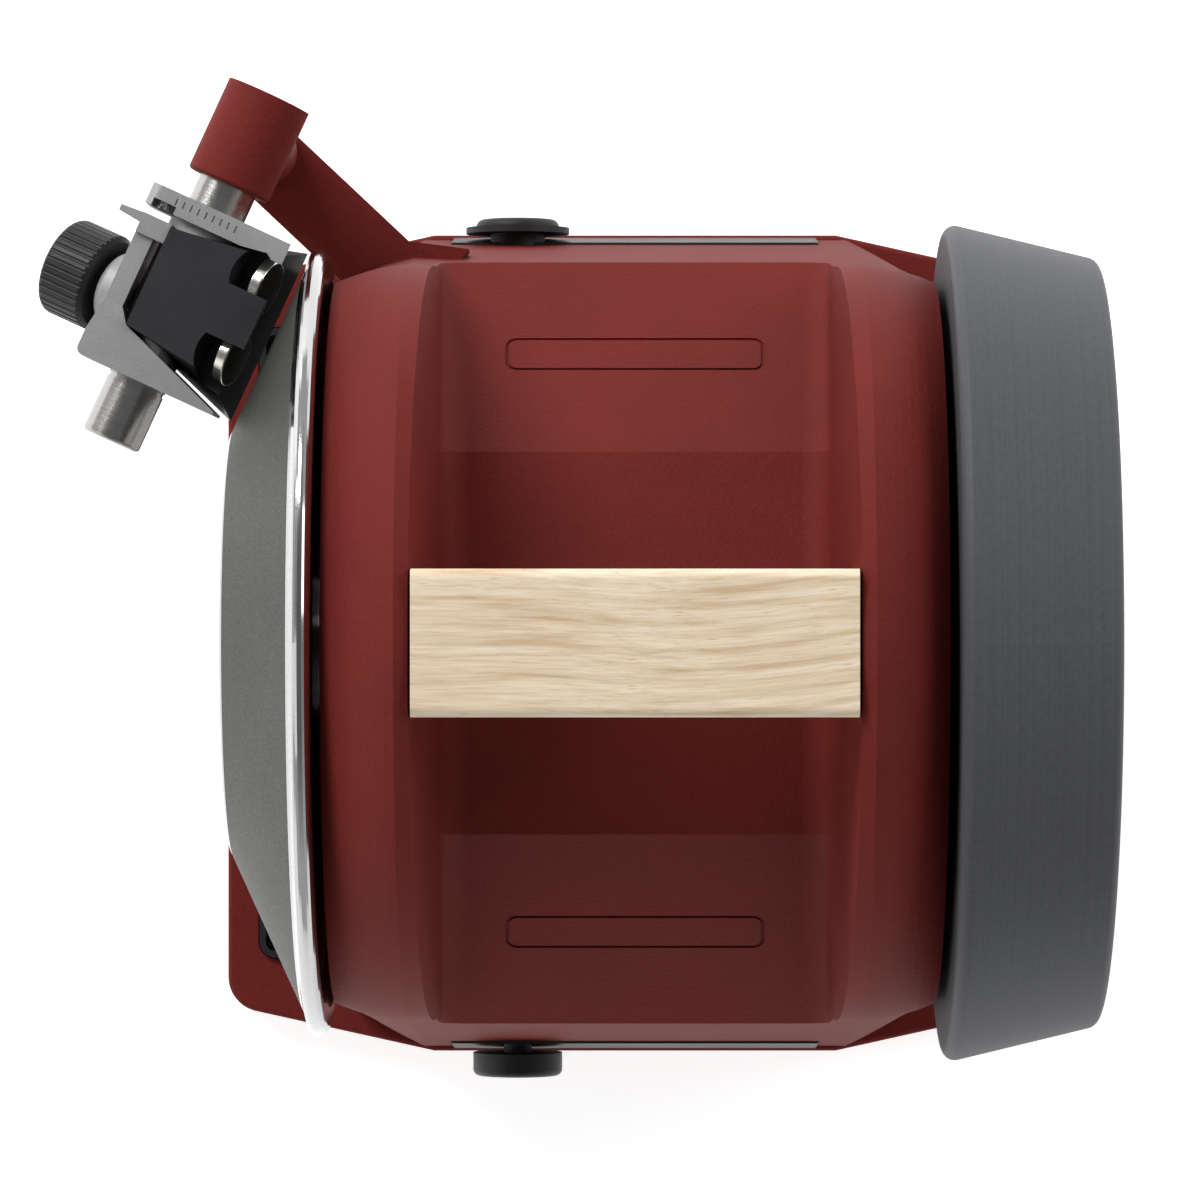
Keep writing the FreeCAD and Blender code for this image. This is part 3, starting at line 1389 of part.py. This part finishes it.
# ---- all pieces ----------------------------------------------------------------------------------
carriage = guide_carriage().cut(guide_place(gap_screw_bore()))
pieces = {
    "housing": [housing()],
    "handle": [handle()],
    "handle_screws": handle_screws(),
    "bottom_cover": [bottom_cover()],
    "feet": feet(),
    "cover_screws": cover_screws(),
    "front_fascia": [front_fascia()],
    "rear_fascia": [rear_fascia()],
    "switch_body": [switch_body()],
    "switch_knob": [switch_knob()],
    "cable_gland": [cable_gland()],
    "spindle_bearings": spindle_bearings(),
    "motor_bracket_left": [motor_bracket_left()],
    "motor_bracket_right": [motor_bracket_right()],
    "motor_bearings": motor_bearings(),
    "idler_bushes": idler_bushes(),
    "motor_stator": [motor_stator()],
    "motor_windings": [motor_windings()],
    "stator_stays": stator_stays(),
    "capacitor": [capacitor()],
    "terminal_block": [terminal_block()],
    "support_bar": [support_bar()],
    "bar_set_screw": [set_screw()],
    "spindle": [spindle()],
    "spindle_gear": [spindle_gear()],
    "spindle_spacers": spindle_spacers(),
    "grinding_wheel": [grinding_wheel()],
    "diamond_coating": [diamond_coating()],
    "honing_wheel": [honing_wheel()],
    "honing_hub": [honing_hub()],
    "wheel_washers": wheel_washers(),
    "wheel_nuts": wheel_nuts(),
    "idler_shaft": [idler_shaft()],
    "idler_gear": [idler_gear()],
    "idler_pinion": [idler_pinion()],
    "motor_shaft": [motor_shaft()],
    "motor_pinion": [motor_pinion()],
    "rotor": [rotor()],
    "cooling_fan": [cooling_fan()],
    "guide_carriage": [carriage],
    "gap_screw": [gap_screw()],
    "guide_cradle": [guide_cradle()],
    "guide_block": [guide_block()],
    "holding_discs": holding_discs(),
    "clamp_knob": [clamp_knob()],
    "clamp_screw": [clamp_screw()],
    "dust_tray": [dust_tray()],
}


def overall_box():
    """Box round the pieces that reach furthest out."""
    whole = FreeCAD.BoundBox()
    outermost = ("clamp_knob", "honing_wheel", "switch_knob", "housing", "support_bar", "cable_gland", "feet")
    for name in outermost:
        for solid in pieces[name]:
            whole.add(solid.optimalBoundingBox(False, False))
    return whole


outline_box = overall_box()
to_bench = V(-outline_box.Center.x, -outline_box.Center.y, -bench_z)

for name, solids in pieces.items():
    shape = Part.makeCompound(solids) if len(solids) > 1 else solids[0]
    moved = shape.copy()
    moved.translate(to_bench)
    moved.exportStep("parts/" + name + ".step")
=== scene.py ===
import bpy
import json
from math import atan2, pi
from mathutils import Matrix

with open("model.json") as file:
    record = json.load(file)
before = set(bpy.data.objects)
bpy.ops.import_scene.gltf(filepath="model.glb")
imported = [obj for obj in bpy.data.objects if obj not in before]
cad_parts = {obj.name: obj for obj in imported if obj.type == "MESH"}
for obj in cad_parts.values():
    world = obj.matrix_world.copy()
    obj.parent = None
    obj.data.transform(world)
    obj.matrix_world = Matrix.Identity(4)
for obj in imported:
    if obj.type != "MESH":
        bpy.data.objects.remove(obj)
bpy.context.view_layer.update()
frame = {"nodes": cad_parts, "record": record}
print("frame loaded")

nodes = frame["nodes"]
joints = {j["name"]: j for j in frame["record"]["behaviour"]["joints"]}
axle = joints["spindle_spin"]["pos_m"]
slotOf = {s["node"]: s["material_slot"] for s in frame["record"]["subparts"]}


def newMaterial(name):
    mat = bpy.data.materials.new(name)
    mat.use_nodes = True
    tree = mat.node_tree
    tree.nodes.clear()
    out = tree.nodes.new("ShaderNodeOutputMaterial")
    shader = tree.nodes.new("ShaderNodeBsdfPrincipled")
    tree.links.new(shader.outputs["BSDF"], out.inputs["Surface"])
    return mat, tree, shader


def addNode(tree, kind, **values):
    # socket values go by socket name with spaces as underscores, others are node settings
    node = tree.nodes.new(kind)
    for key, value in values.items():
        socket = node.inputs.get(key.replace("_", " "))
        if socket is not None:
            socket.default_value = value
        else:
            setattr(node, key, value)
    return node


def rampNode(tree, stops, factor):
    ramp = tree.nodes.new("ShaderNodeValToRGB")
    elements = ramp.color_ramp.elements
    while len(elements) < len(stops):
        elements.new(0.5)
    for element, (place, colour) in zip(elements, stops):
        element.position = place
        element.color = (*colour, 1.0)
    tree.links.new(factor, ramp.inputs["Fac"])
    return ramp


def centredPoint(tree, centre=(0, 0, 0), turn=(0, 0, 0)):
    # object coordinates measured from a centre, then turned
    coords = tree.nodes.new("ShaderNodeTexCoord")
    move = addNode(tree, "ShaderNodeMapping", vector_type="POINT")
    move.inputs["Location"].default_value = [-c for c in centre]
    tree.links.new(coords.outputs["Object"], move.inputs["Vector"])
    if turn == (0, 0, 0):
        return move.outputs["Vector"]
    bend = addNode(tree, "ShaderNodeMapping", vector_type="POINT")
    bend.inputs["Rotation"].default_value = turn
    tree.links.new(move.outputs["Vector"], bend.inputs["Vector"])
    return bend.outputs["Vector"]


def newGroup(name, inputs, outputs):
    group = bpy.data.node_groups.new(name, "ShaderNodeTree")
    for label, kind, value in inputs:
        socket = group.interface.new_socket(label, in_out="INPUT", socket_type=kind)
        if value is not None:
            socket.default_value = value
    for label, kind in outputs:
        group.interface.new_socket(label, in_out="OUTPUT", socket_type=kind)
    return group, group.nodes.new("NodeGroupInput"), group.nodes.new("NodeGroupOutput")


def useGroup(tree, group, **values):
    node = tree.nodes.new("ShaderNodeGroup")
    node.node_tree = group
    for key, value in values.items():
        node.inputs[key.replace("_", " ")].default_value = value
    return node


def buildFineGrain():
    # moulded or blasted skin: fine bumps, faint mottling of the colour and of the roughness
    grainShare = 0.45
    group, start, end = newGroup("fineGrain", [
        ("Vector", "NodeSocketVector", None),
        ("Dark", "NodeSocketColor", (0.02, 0.02, 0.02, 1)),
        ("Light", "NodeSocketColor", (0.03, 0.03, 0.03, 1)),
        ("Grain Scale", "NodeSocketFloat", 2500.0),
        ("Patch Scale", "NodeSocketFloat", 60.0),
        ("Bump", "NodeSocketFloat", 0.2),
        ("Roughness Low", "NodeSocketFloat", 0.4),
        ("Roughness High", "NodeSocketFloat", 0.55)], [
        ("Color", "NodeSocketColor"), ("Roughness", "NodeSocketFloat"), ("Normal", "NodeSocketVector")])
    links = group.links
    grain = addNode(group, "ShaderNodeTexNoise", Detail=3.0, Roughness=0.6)
    patch = addNode(group, "ShaderNodeTexNoise", Detail=4.0, Roughness=0.6)
    links.new(start.outputs["Vector"], grain.inputs["Vector"])
    links.new(start.outputs["Vector"], patch.inputs["Vector"])
    links.new(start.outputs["Grain Scale"], grain.inputs["Scale"])
    links.new(start.outputs["Patch Scale"], patch.inputs["Scale"])
    both = addNode(group, "ShaderNodeMath", operation="MULTIPLY_ADD")
    both.inputs[1].default_value = 1 - grainShare
    links.new(patch.outputs["Fac"], both.inputs[0])
    half = addNode(group, "ShaderNodeMath", operation="MULTIPLY")
    half.inputs[1].default_value = grainShare
    links.new(grain.outputs["Fac"], half.inputs[0])
    links.new(half.outputs[0], both.inputs[2])
    sharp = addNode(group, "ShaderNodeMapRange")
    sharp.inputs["From Min"].default_value = 0.3
    sharp.inputs["From Max"].default_value = 0.7
    links.new(both.outputs[0], sharp.inputs["Value"])
    mix = addNode(group, "ShaderNodeMix", data_type="RGBA")
    links.new(sharp.outputs["Result"], mix.inputs[0])
    links.new(start.outputs["Dark"], mix.inputs[6])
    links.new(start.outputs["Light"], mix.inputs[7])
    rough = addNode(group, "ShaderNodeMapRange")
    links.new(sharp.outputs["Result"], rough.inputs["Value"])
    links.new(start.outputs["Roughness Low"], rough.inputs["To Min"])
    links.new(start.outputs["Roughness High"], rough.inputs["To Max"])
    bump = addNode(group, "ShaderNodeBump", Distance=0.0002)
    links.new(start.outputs["Bump"], bump.inputs["Strength"])
    links.new(grain.outputs["Fac"], bump.inputs["Height"])
    links.new(mix.outputs[2], end.inputs["Color"])
    links.new(rough.outputs["Result"], end.inputs["Roughness"])
    links.new(bump.outputs["Normal"], end.inputs["Normal"])
    return group


def buildTurnedLines():
    # lathe or grinding marks: rings about the x axis of the vector, with uneven depth
    fleckShare = 0.35
    group, start, end = newGroup("turnedLines", [
        ("Vector", "NodeSocketVector", None),
        ("Dark", "NodeSocketColor", (0.3, 0.3, 0.3, 1)),
        ("Light", "NodeSocketColor", (0.5, 0.5, 0.5, 1)),
        ("Line Scale", "NodeSocketFloat", 900.0),
        ("Bump", "NodeSocketFloat", 0.2),
        ("Roughness Low", "NodeSocketFloat", 0.2),
        ("Roughness High", "NodeSocketFloat", 0.35)], [
        ("Color", "NodeSocketColor"), ("Roughness", "NodeSocketFloat"), ("Normal", "NodeSocketVector")])
    links = group.links
    parts = addNode(group, "ShaderNodeSeparateXYZ")
    links.new(start.outputs["Vector"], parts.inputs[0])
    flat = addNode(group, "ShaderNodeCombineXYZ")
    links.new(parts.outputs["Y"], flat.inputs["Y"])
    links.new(parts.outputs["Z"], flat.inputs["Z"])
    radius = addNode(group, "ShaderNodeVectorMath", operation="LENGTH")
    links.new(flat.outputs[0], radius.inputs[0])
    rings = addNode(group, "ShaderNodeCombineXYZ")
    links.new(parts.outputs["X"], rings.inputs["X"])
    links.new(radius.outputs["Value"], rings.inputs["Y"])
    lines = addNode(group, "ShaderNodeTexNoise", Detail=5.0, Roughness=0.75)
    links.new(rings.outputs[0], lines.inputs["Vector"])
    links.new(start.outputs["Line Scale"], lines.inputs["Scale"])
    cloud = addNode(group, "ShaderNodeTexNoise", Scale=900.0, Detail=3.0)
    links.new(start.outputs["Vector"], cloud.inputs["Vector"])
    fleck = addNode(group, "ShaderNodeMath", operation="MULTIPLY")
    fleck.inputs[1].default_value = fleckShare
    links.new(cloud.outputs["Fac"], fleck.inputs[0])
    both = addNode(group, "ShaderNodeMath", operation="MULTIPLY_ADD")
    both.inputs[1].default_value = 1 - fleckShare
    links.new(lines.outputs["Fac"], both.inputs[0])
    links.new(fleck.outputs[0], both.inputs[2])
    sharp = addNode(group, "ShaderNodeMapRange")
    sharp.inputs["From Min"].default_value = 0.28
    sharp.inputs["From Max"].default_value = 0.72
    links.new(both.outputs[0], sharp.inputs["Value"])
    mix = addNode(group, "ShaderNodeMix", data_type="RGBA")
    links.new(sharp.outputs["Result"], mix.inputs[0])
    links.new(start.outputs["Dark"], mix.inputs[6])
    links.new(start.outputs["Light"], mix.inputs[7])
    rough = addNode(group, "ShaderNodeMapRange")
    links.new(sharp.outputs["Result"], rough.inputs["Value"])
    links.new(start.outputs["Roughness Low"], rough.inputs["To Min"])
    links.new(start.outputs["Roughness High"], rough.inputs["To Max"])
    bump = addNode(group, "ShaderNodeBump", Distance=0.0001)
    links.new(start.outputs["Bump"], bump.inputs["Strength"])
    links.new(lines.outputs["Fac"], bump.inputs["Height"])
    links.new(mix.outputs[2], end.inputs["Color"])
    links.new(rough.outputs["Result"], end.inputs["Roughness"])
    links.new(bump.outputs["Normal"], end.inputs["Normal"])
    return group


fineGrain = buildFineGrain()
turnedLines = buildTurnedLines()
print("shader groups built")


def grainMaterial(name, finish):
    mat, tree, shader = newMaterial(name)
    skin = useGroup(tree, fineGrain, Dark=(*finish["dark"], 1), Light=(*finish["light"], 1),
                    Grain_Scale=finish["grain"], Patch_Scale=finish["patch"], Bump=finish["bump"],
                    Roughness_Low=finish["rough"][0], Roughness_High=finish["rough"][1])
    tree.links.new(centredPoint(tree), skin.inputs["Vector"])
    for label in ("Roughness", "Normal"):
        tree.links.new(skin.outputs[label], shader.inputs[label])
    tree.links.new(skin.outputs["Color"], shader.inputs["Base Color"])
    shader.inputs["Metallic"].default_value = finish.get("metal", 0.0)
    shader.inputs["Specular IOR Level"].default_value = finish.get("specular", 0.5)
    return mat


def turnedMaterial(name, finish, centre=(0, 0, 0), turn=(0, 0, 0)):
    mat, tree, shader = newMaterial(name)
    skin = useGroup(tree, turnedLines, Dark=(*finish["dark"], 1), Light=(*finish["light"], 1),
                    Line_Scale=finish["lines"], Bump=finish["bump"],
                    Roughness_Low=finish["rough"][0], Roughness_High=finish["rough"][1])
    tree.links.new(centredPoint(tree, centre, turn), skin.inputs["Vector"])
    for label in ("Roughness", "Normal"):
        tree.links.new(skin.outputs[label], shader.inputs[label])
    tree.links.new(skin.outputs["Color"], shader.inputs["Base Color"])
    shader.inputs["Metallic"].default_value = finish.get("metal", 1.0)
    shader.inputs["Specular IOR Level"].default_value = finish.get("specular", 0.5)
    return mat


def oakMaterial(name, finish):
    # pale oak: long wavy bands, fine fibres and short dark pores, all along x
    mat, tree, shader = newMaterial(name)
    links = tree.links
    point = centredPoint(tree, (axle[0], axle[1], axle[2] + finish["aboveAxle"]))
    wander = addNode(tree, "ShaderNodeTexNoise", Scale=finish["waves"], Detail=2.0)
    links.new(point, wander.inputs["Vector"])
    shift = addNode(tree, "ShaderNodeVectorMath", operation="SCALE", Scale=finish["waveDepth"])
    links.new(wander.outputs["Color"], shift.inputs[0])
    moved = addNode(tree, "ShaderNodeVectorMath", operation="ADD")
    links.new(point, moved.inputs[0])
    links.new(shift.outputs[0], moved.inputs[1])
    stretch = addNode(tree, "ShaderNodeMapping", vector_type="POINT")
    stretch.inputs["Rotation"].default_value = (finish["roll"], 0.0, finish["tilt"])
    stretch.inputs["Scale"].default_value = (finish["along"], 1.0, 0.8)
    links.new(moved.outputs[0], stretch.inputs["Vector"])
    bands = addNode(tree, "ShaderNodeTexNoise", Scale=finish["bands"], Detail=3.0, Roughness=0.55)
    fibres = addNode(tree, "ShaderNodeTexNoise", Scale=finish["fibres"], Detail=4.0, Roughness=0.7)
    for texture in (bands, fibres):
        links.new(stretch.outputs[0], texture.inputs["Vector"])
    bandColour = rampNode(tree, [(0.30, finish["dark"]), (0.46, finish["middle"]), (0.62, finish["light"])],
                          bands.outputs["Fac"])
    fibreTone = rampNode(tree, [(0.34, (0.80, 0.74, 0.66)), (0.56, (1, 1, 1))], fibres.outputs["Fac"])
    wood = addNode(tree, "ShaderNodeMix", data_type="RGBA", blend_type="MULTIPLY")
    wood.inputs[0].default_value = finish["fibreWeight"]
    links.new(bandColour.outputs["Color"], wood.inputs[6])
    links.new(fibreTone.outputs["Color"], wood.inputs[7])
    poreStretch = addNode(tree, "ShaderNodeMapping", vector_type="POINT")
    poreStretch.inputs["Rotation"].default_value = (finish["roll"], 0.0, finish["tilt"])
    poreStretch.inputs["Scale"].default_value = (finish["along"] * 1.6, 1.0, 1.0)
    links.new(moved.outputs[0], poreStretch.inputs["Vector"])
    pores = addNode(tree, "ShaderNodeTexVoronoi", Scale=finish["pores"], Randomness=1.0)
    links.new(poreStretch.outputs[0], pores.inputs["Vector"])
    poreMask = rampNode(tree, [(0.06, (1, 1, 1)), (0.17, (0, 0, 0))], pores.outputs["Distance"])
    poreWhere = rampNode(tree, [(0.42, (0, 0, 0)), (0.6, (1, 1, 1))], bands.outputs["Fac"])
    poreFade = addNode(tree, "ShaderNodeMix", data_type="RGBA", blend_type="MULTIPLY")
    poreFade.inputs[0].default_value = 1.0
    links.new(poreMask.outputs["Color"], poreFade.inputs[6])
    links.new(poreWhere.outputs["Color"], poreFade.inputs[7])
    poreDepth = addNode(tree, "ShaderNodeMath", operation="MULTIPLY")
    poreDepth.inputs[1].default_value = finish["poreWeight"]
    links.new(poreFade.outputs[2], poreDepth.inputs[0])
    finished = addNode(tree, "ShaderNodeMix", data_type="RGBA")
    finished.inputs[7].default_value = (*finish["pore"], 1)
    links.new(poreDepth.outputs[0], finished.inputs[0])
    links.new(wood.outputs[2], finished.inputs[6])
    links.new(finished.outputs[2], shader.inputs["Base Color"])
    rough = addNode(tree, "ShaderNodeMapRange")
    rough.inputs["To Min"].default_value = finish["rough"][0]
    rough.inputs["To Max"].default_value = finish["rough"][1]
    links.new(fibres.outputs["Fac"], rough.inputs["Value"])
    links.new(rough.outputs["Result"], shader.inputs["Roughness"])
    relief = addNode(tree, "ShaderNodeMath", operation="SUBTRACT")
    links.new(fibres.outputs["Fac"], relief.inputs[0])
    links.new(poreDepth.outputs[0], relief.inputs[1])
    bump = addNode(tree, "ShaderNodeBump", Strength=0.25, Distance=0.0002)
    links.new(relief.outputs[0], bump.inputs["Height"])
    links.new(bump.outputs["Normal"], shader.inputs["Normal"])
    shader.inputs["Specular IOR Level"].default_value = finish["specular"]
    return mat


def diamondMaterial(name, finish):
    # nickel plate full of fine diamond grit: dark, matte, with sparse bright specks
    mat, tree, shader = newMaterial(name)
    links = tree.links
    point = centredPoint(tree, axle)
    grit = addNode(tree, "ShaderNodeTexVoronoi", Scale=finish["grit"])
    cloud = addNode(tree, "ShaderNodeTexNoise", Scale=finish["cloud"], Detail=5.0, Roughness=0.65)
    for texture in (grit, cloud):
        links.new(point, texture.inputs["Vector"])
    tone = addNode(tree, "ShaderNodeSeparateColor")
    links.new(grit.outputs["Color"], tone.inputs[0])
    speck = rampNode(tree, [(0.0, finish["dark"]), (0.55, finish["middle"]), (0.93, finish["light"]),
                            (0.99, finish["speck"])], tone.outputs[0])
    shade = rampNode(tree, [(0.35, (0.82, 0.82, 0.82)), (0.65, (1, 1, 1))], cloud.outputs["Fac"])
    mix = addNode(tree, "ShaderNodeMix", data_type="RGBA", blend_type="MULTIPLY")
    mix.inputs[0].default_value = 1.0
    links.new(speck.outputs["Color"], mix.inputs[6])
    links.new(shade.outputs["Color"], mix.inputs[7])
    links.new(mix.outputs[2], shader.inputs["Base Color"])
    rough = addNode(tree, "ShaderNodeMapRange")
    rough.inputs["To Min"].default_value = finish["rough"][0]
    rough.inputs["To Max"].default_value = finish["rough"][1]
    links.new(tone.outputs[1], rough.inputs["Value"])
    links.new(rough.outputs["Result"], shader.inputs["Roughness"])
    bump = addNode(tree, "ShaderNodeBump", Strength=0.35, Distance=0.0001)
    links.new(grit.outputs["Distance"], bump.inputs["Height"])
    links.new(bump.outputs["Normal"], shader.inputs["Normal"])
    shader.inputs["Metallic"].default_value = finish["metal"]
    shader.inputs["Specular IOR Level"].default_value = finish["specular"]
    return mat


redPaint = {"dark": (0.134, 0.0165, 0.0130), "light": (0.172, 0.0225, 0.0180), "grain": 1150.0, "patch": 40.0,
            "bump": 0.85, "rough": (0.58, 0.68), "specular": 0.09}
blackPlastic = {"dark": (0.010, 0.011, 0.012), "light": (0.018, 0.019, 0.021), "grain": 3200.0, "patch": 70.0,
                "bump": 0.3, "rough": (0.38, 0.52), "specular": 0.35}
guidePlastic = {"dark": (0.020, 0.021, 0.024), "light": (0.030, 0.031, 0.036), "grain": 3600.0, "patch": 80.0,
                "bump": 0.25, "rough": (0.38, 0.5), "specular": 0.35}
knobPlastic = {"dark": (0.008, 0.008, 0.009), "light": (0.015, 0.015, 0.016), "grain": 3200.0, "patch": 90.0,
               "bump": 0.3, "rough": (0.36, 0.48), "specular": 0.35}
softRubber = {"dark": (0.008, 0.008, 0.009), "light": (0.016, 0.016, 0.017), "grain": 2600.0, "patch": 60.0,
              "bump": 0.3, "rough": (0.45, 0.6), "specular": 0.35}
blastedZinc = {"dark": (0.30, 0.30, 0.305), "light": (0.38, 0.38, 0.385), "grain": 3000.0, "patch": 120.0,
               "bump": 0.4, "rough": (0.45, 0.55), "metal": 0.35, "specular": 0.4}
blackSheet = {"dark": (0.018, 0.018, 0.019), "light": (0.034, 0.034, 0.035), "grain": 1800.0, "patch": 40.0,
              "bump": 0.3, "rough": (0.42, 0.55)}
palePlastic = {"dark": (0.50, 0.49, 0.44), "light": (0.64, 0.62, 0.56), "grain": 2600.0, "patch": 60.0,
               "bump": 0.15, "rough": (0.28, 0.4)}
coreSteel = {"dark": (0.10, 0.10, 0.105), "light": (0.20, 0.20, 0.205), "grain": 2600.0, "patch": 90.0,
             "bump": 0.4, "rough": (0.4, 0.6), "metal": 0.9}
copperWire = {"dark": (0.40, 0.13, 0.055), "light": (0.56, 0.22, 0.10), "lines": 2200.0, "bump": 0.8,
              "rough": (0.25, 0.4)}
bronzeBush = {"dark": (0.30, 0.18, 0.08), "light": (0.42, 0.27, 0.13), "lines": 1500.0, "bump": 0.2,
              "rough": (0.3, 0.45)}
shellMetal = {"dark": (0.50, 0.50, 0.51), "light": (0.64, 0.64, 0.65), "lines": 1200.0, "bump": 0.2,
              "rough": (0.25, 0.4)}
plainSteel = {"dark": (0.36, 0.36, 0.36), "light": (0.52, 0.52, 0.52), "lines": 1600.0, "bump": 0.25,
              "rough": (0.24, 0.36)}
gearSteel = {"dark": (0.24, 0.24, 0.245), "light": (0.38, 0.38, 0.385), "lines": 1600.0, "bump": 0.25,
             "rough": (0.3, 0.42)}
groundBar = {"dark": (0.34, 0.33, 0.315), "light": (0.46, 0.45, 0.43), "lines": 1900.0, "bump": 0.12,
             "rough": (0.2, 0.3)}
polishedWheel = {"dark": (0.42, 0.42, 0.425), "light": (0.50, 0.50, 0.505), "lines": 2200.0, "bump": 0.05,
                 "rough": (0.07, 0.14)}
magnetPlate = {"dark": (0.60, 0.58, 0.52), "light": (0.74, 0.72, 0.66), "lines": 1600.0, "bump": 0.08,
               "rough": (0.12, 0.22)}
honingFace = {"dark": (0.058, 0.060, 0.066), "light": (0.094, 0.097, 0.106), "lines": 1900.0, "bump": 0.5,
              "rough": (0.5, 0.62), "metal": 0.0, "specular": 0.25}
diamondFace = {"dark": (0.050, 0.049, 0.043), "middle": (0.062, 0.061, 0.054), "light": (0.073, 0.072, 0.064),
               "speck": (0.10, 0.098, 0.088), "grit": 5200.0, "cloud": 30.0, "rough": (0.62, 0.42),
               "metal": 0.45, "specular": 0.3}
paleOak = {"dark": (0.68, 0.51, 0.33), "middle": (0.82, 0.665, 0.475), "light": (0.90, 0.765, 0.585),
           "pore": (0.44, 0.27, 0.14), "along": 0.045, "bands": 560.0, "fibres": 2300.0, "pores": 1300.0,
           "tilt": 0.03, "roll": 0.2, "aboveAxle": 0.06, "waves": 9.0, "waveDepth": 0.012, "fibreWeight": 0.75,
           "poreWeight": 0.55, "rough": (0.62, 0.45), "specular": 0.35}

barAxis = joints["guide_slide"]["axis"]
barTurn = (0, 0, -atan2(barAxis[1], barAxis[0]))
barPoint = joints["guide_tilt"]["pos_m"]

materialOf = {
    "red_paint": grainMaterial("redPowderCoat", redPaint),
    "wood": oakMaterial("oiledOak", paleOak),
    "steel": turnedMaterial("machinedSteel", plainSteel, axle),
    "cover_steel": grainMaterial("blackPaintedSheet", blackSheet),
    "rubber": grainMaterial("softRubber", softRubber),
    "black_plastic": grainMaterial("blackMoulding", blackPlastic),
    "knob_plastic": grainMaterial("knobMoulding", knobPlastic),
    "bearing_steel": turnedMaterial("bearingSteel", polishedWheel, axle),
    "bronze": turnedMaterial("sinteredBronze", bronzeBush, joints["idler_spin"]["pos_m"]),
    "laminations": grainMaterial("coreSteel", coreSteel),
    "copper": turnedMaterial("copperWindings", copperWire, joints["motor_spin"]["pos_m"]),
    "capacitor_shell": turnedMaterial("drawnCan", shellMetal, joints["motor_spin"]["pos_m"]),
    "pale_plastic": grainMaterial("paleMoulding", palePlastic),
    "bar_steel": turnedMaterial("groundBar", groundBar, barPoint, barTurn),
    "gear_steel": turnedMaterial("gearSteel", gearSteel, axle),
    "wheel_chrome": turnedMaterial("polishedWheel", polishedWheel, axle),
    "diamond": diamondMaterial("diamondPlating", diamondFace),
    "honing_composite": turnedMaterial("honingComposite", honingFace, axle),
    "gear_nylon": grainMaterial("naturalNylon", palePlastic),
    "fan_plastic": grainMaterial("fanMoulding", blackPlastic),
    "zinc": grainMaterial("blastedZinc", blastedZinc),
    "guide_plastic": grainMaterial("guideMoulding", guidePlastic),
    "disc_steel": turnedMaterial("magnetPlating", magnetPlate, barPoint, barTurn),
    "tray_plastic": grainMaterial("trayMoulding", blackPlastic),
}
print("materials built")

for name, piece in nodes.items():
    finish = materialOf[slotOf[name]]
    if not piece.material_slots:
        piece.data.materials.append(finish)
    for place in piece.material_slots:
        place.material = finish

# lengths in metres; frameOffset is how far the camera's field is moved off the axle centre
room = {"floorSize": 8.0, "floorColour": (0.92, 0.92, 0.92), "floorGlow": 0.7, "floorRough": 0.9,
        "horizon": (1.0, 1.0, 1.0), "zenith": (0.30, 0.30, 0.31), "horizonAt": 0.35, "zenithAt": 0.85,
        "worldLight": 0.62, "standHeight": 1.24, "fieldWidth": 0.24, "frameOffset": (-0.0070, 0.0086)}

bpy.ops.mesh.primitive_plane_add(size=room["floorSize"], location=(0, 0, 0))
floor = bpy.context.object
floor.name = "floor"
floorFinish, _, floorShader = newMaterial("paleFloor")
floorShader.inputs["Base Color"].default_value = (*room["floorColour"], 1)
floorShader.inputs["Roughness"].default_value = room["floorRough"]
floorShader.inputs["Emission Color"].default_value = (1, 1, 1, 1)
floorShader.inputs["Emission Strength"].default_value = room["floorGlow"]
floor.data.materials.append(floorFinish)

world = bpy.data.worlds.new("studio")
world.use_nodes = True
skyTree = world.node_tree
background = skyTree.nodes["Background"]
background.inputs["Strength"].default_value = room["worldLight"]
# bright all round, darker straight above
skyPoint = skyTree.nodes.new("ShaderNodeTexCoord")
skyHeight = skyTree.nodes.new("ShaderNodeSeparateXYZ")
skyTree.links.new(skyPoint.outputs["Generated"], skyHeight.inputs[0])
skyRamp = rampNode(skyTree, [(room["horizonAt"], room["horizon"]), (room["zenithAt"], room["zenith"])],
                   skyHeight.outputs["Z"])
skyTree.links.new(skyRamp.outputs["Color"], background.inputs["Color"])
bpy.context.scene.world = world


def softLight(name, place, target, size, power):
    data = bpy.data.lights.new(name, "AREA")
    data.shape = "RECTANGLE"
    data.size, data.size_y = size
    data.energy = power
    light = bpy.data.objects.new(name, data)
    bpy.context.collection.objects.link(light)
    light.location = place
    facing = [t - p for t, p in zip(target, place)]
    pitch = atan2((facing[0] ** 2 + facing[1] ** 2) ** 0.5, -facing[2])
    light.rotation_euler = (pitch, 0, atan2(facing[1], facing[0]) - pi / 2)


softLight("rearKey", (-1.1, 1.45, 1.35), (0, 0, 0.1), (1.1, 0.8), 37.0)
softLight("leftFill", (-1.6, -0.4, 0.9), (0, 0, 0.1), (0.9, 1.2), 3.0)
softLight("rightFill", (1.5, 0.7, 1.0), (0, 0, 0.1), (0.8, 1.2), 9.0)

lens = bpy.data.cameras.new("overhead")
lens.sensor_width = 36.0
lens.lens = lens.sensor_width * room["standHeight"] / room["fieldWidth"]
lens.shift_x = room["frameOffset"][0] / room["fieldWidth"]
lens.shift_y = room["frameOffset"][1] / room["fieldWidth"]
camera = bpy.data.objects.new("overhead", lens)
camera.location = (axle[0], axle[1], axle[2] + room["standHeight"])
bpy.context.collection.objects.link(camera)
bpy.context.scene.camera = camera
bpy.context.scene.view_settings.view_transform = "Standard"
print("stage set")
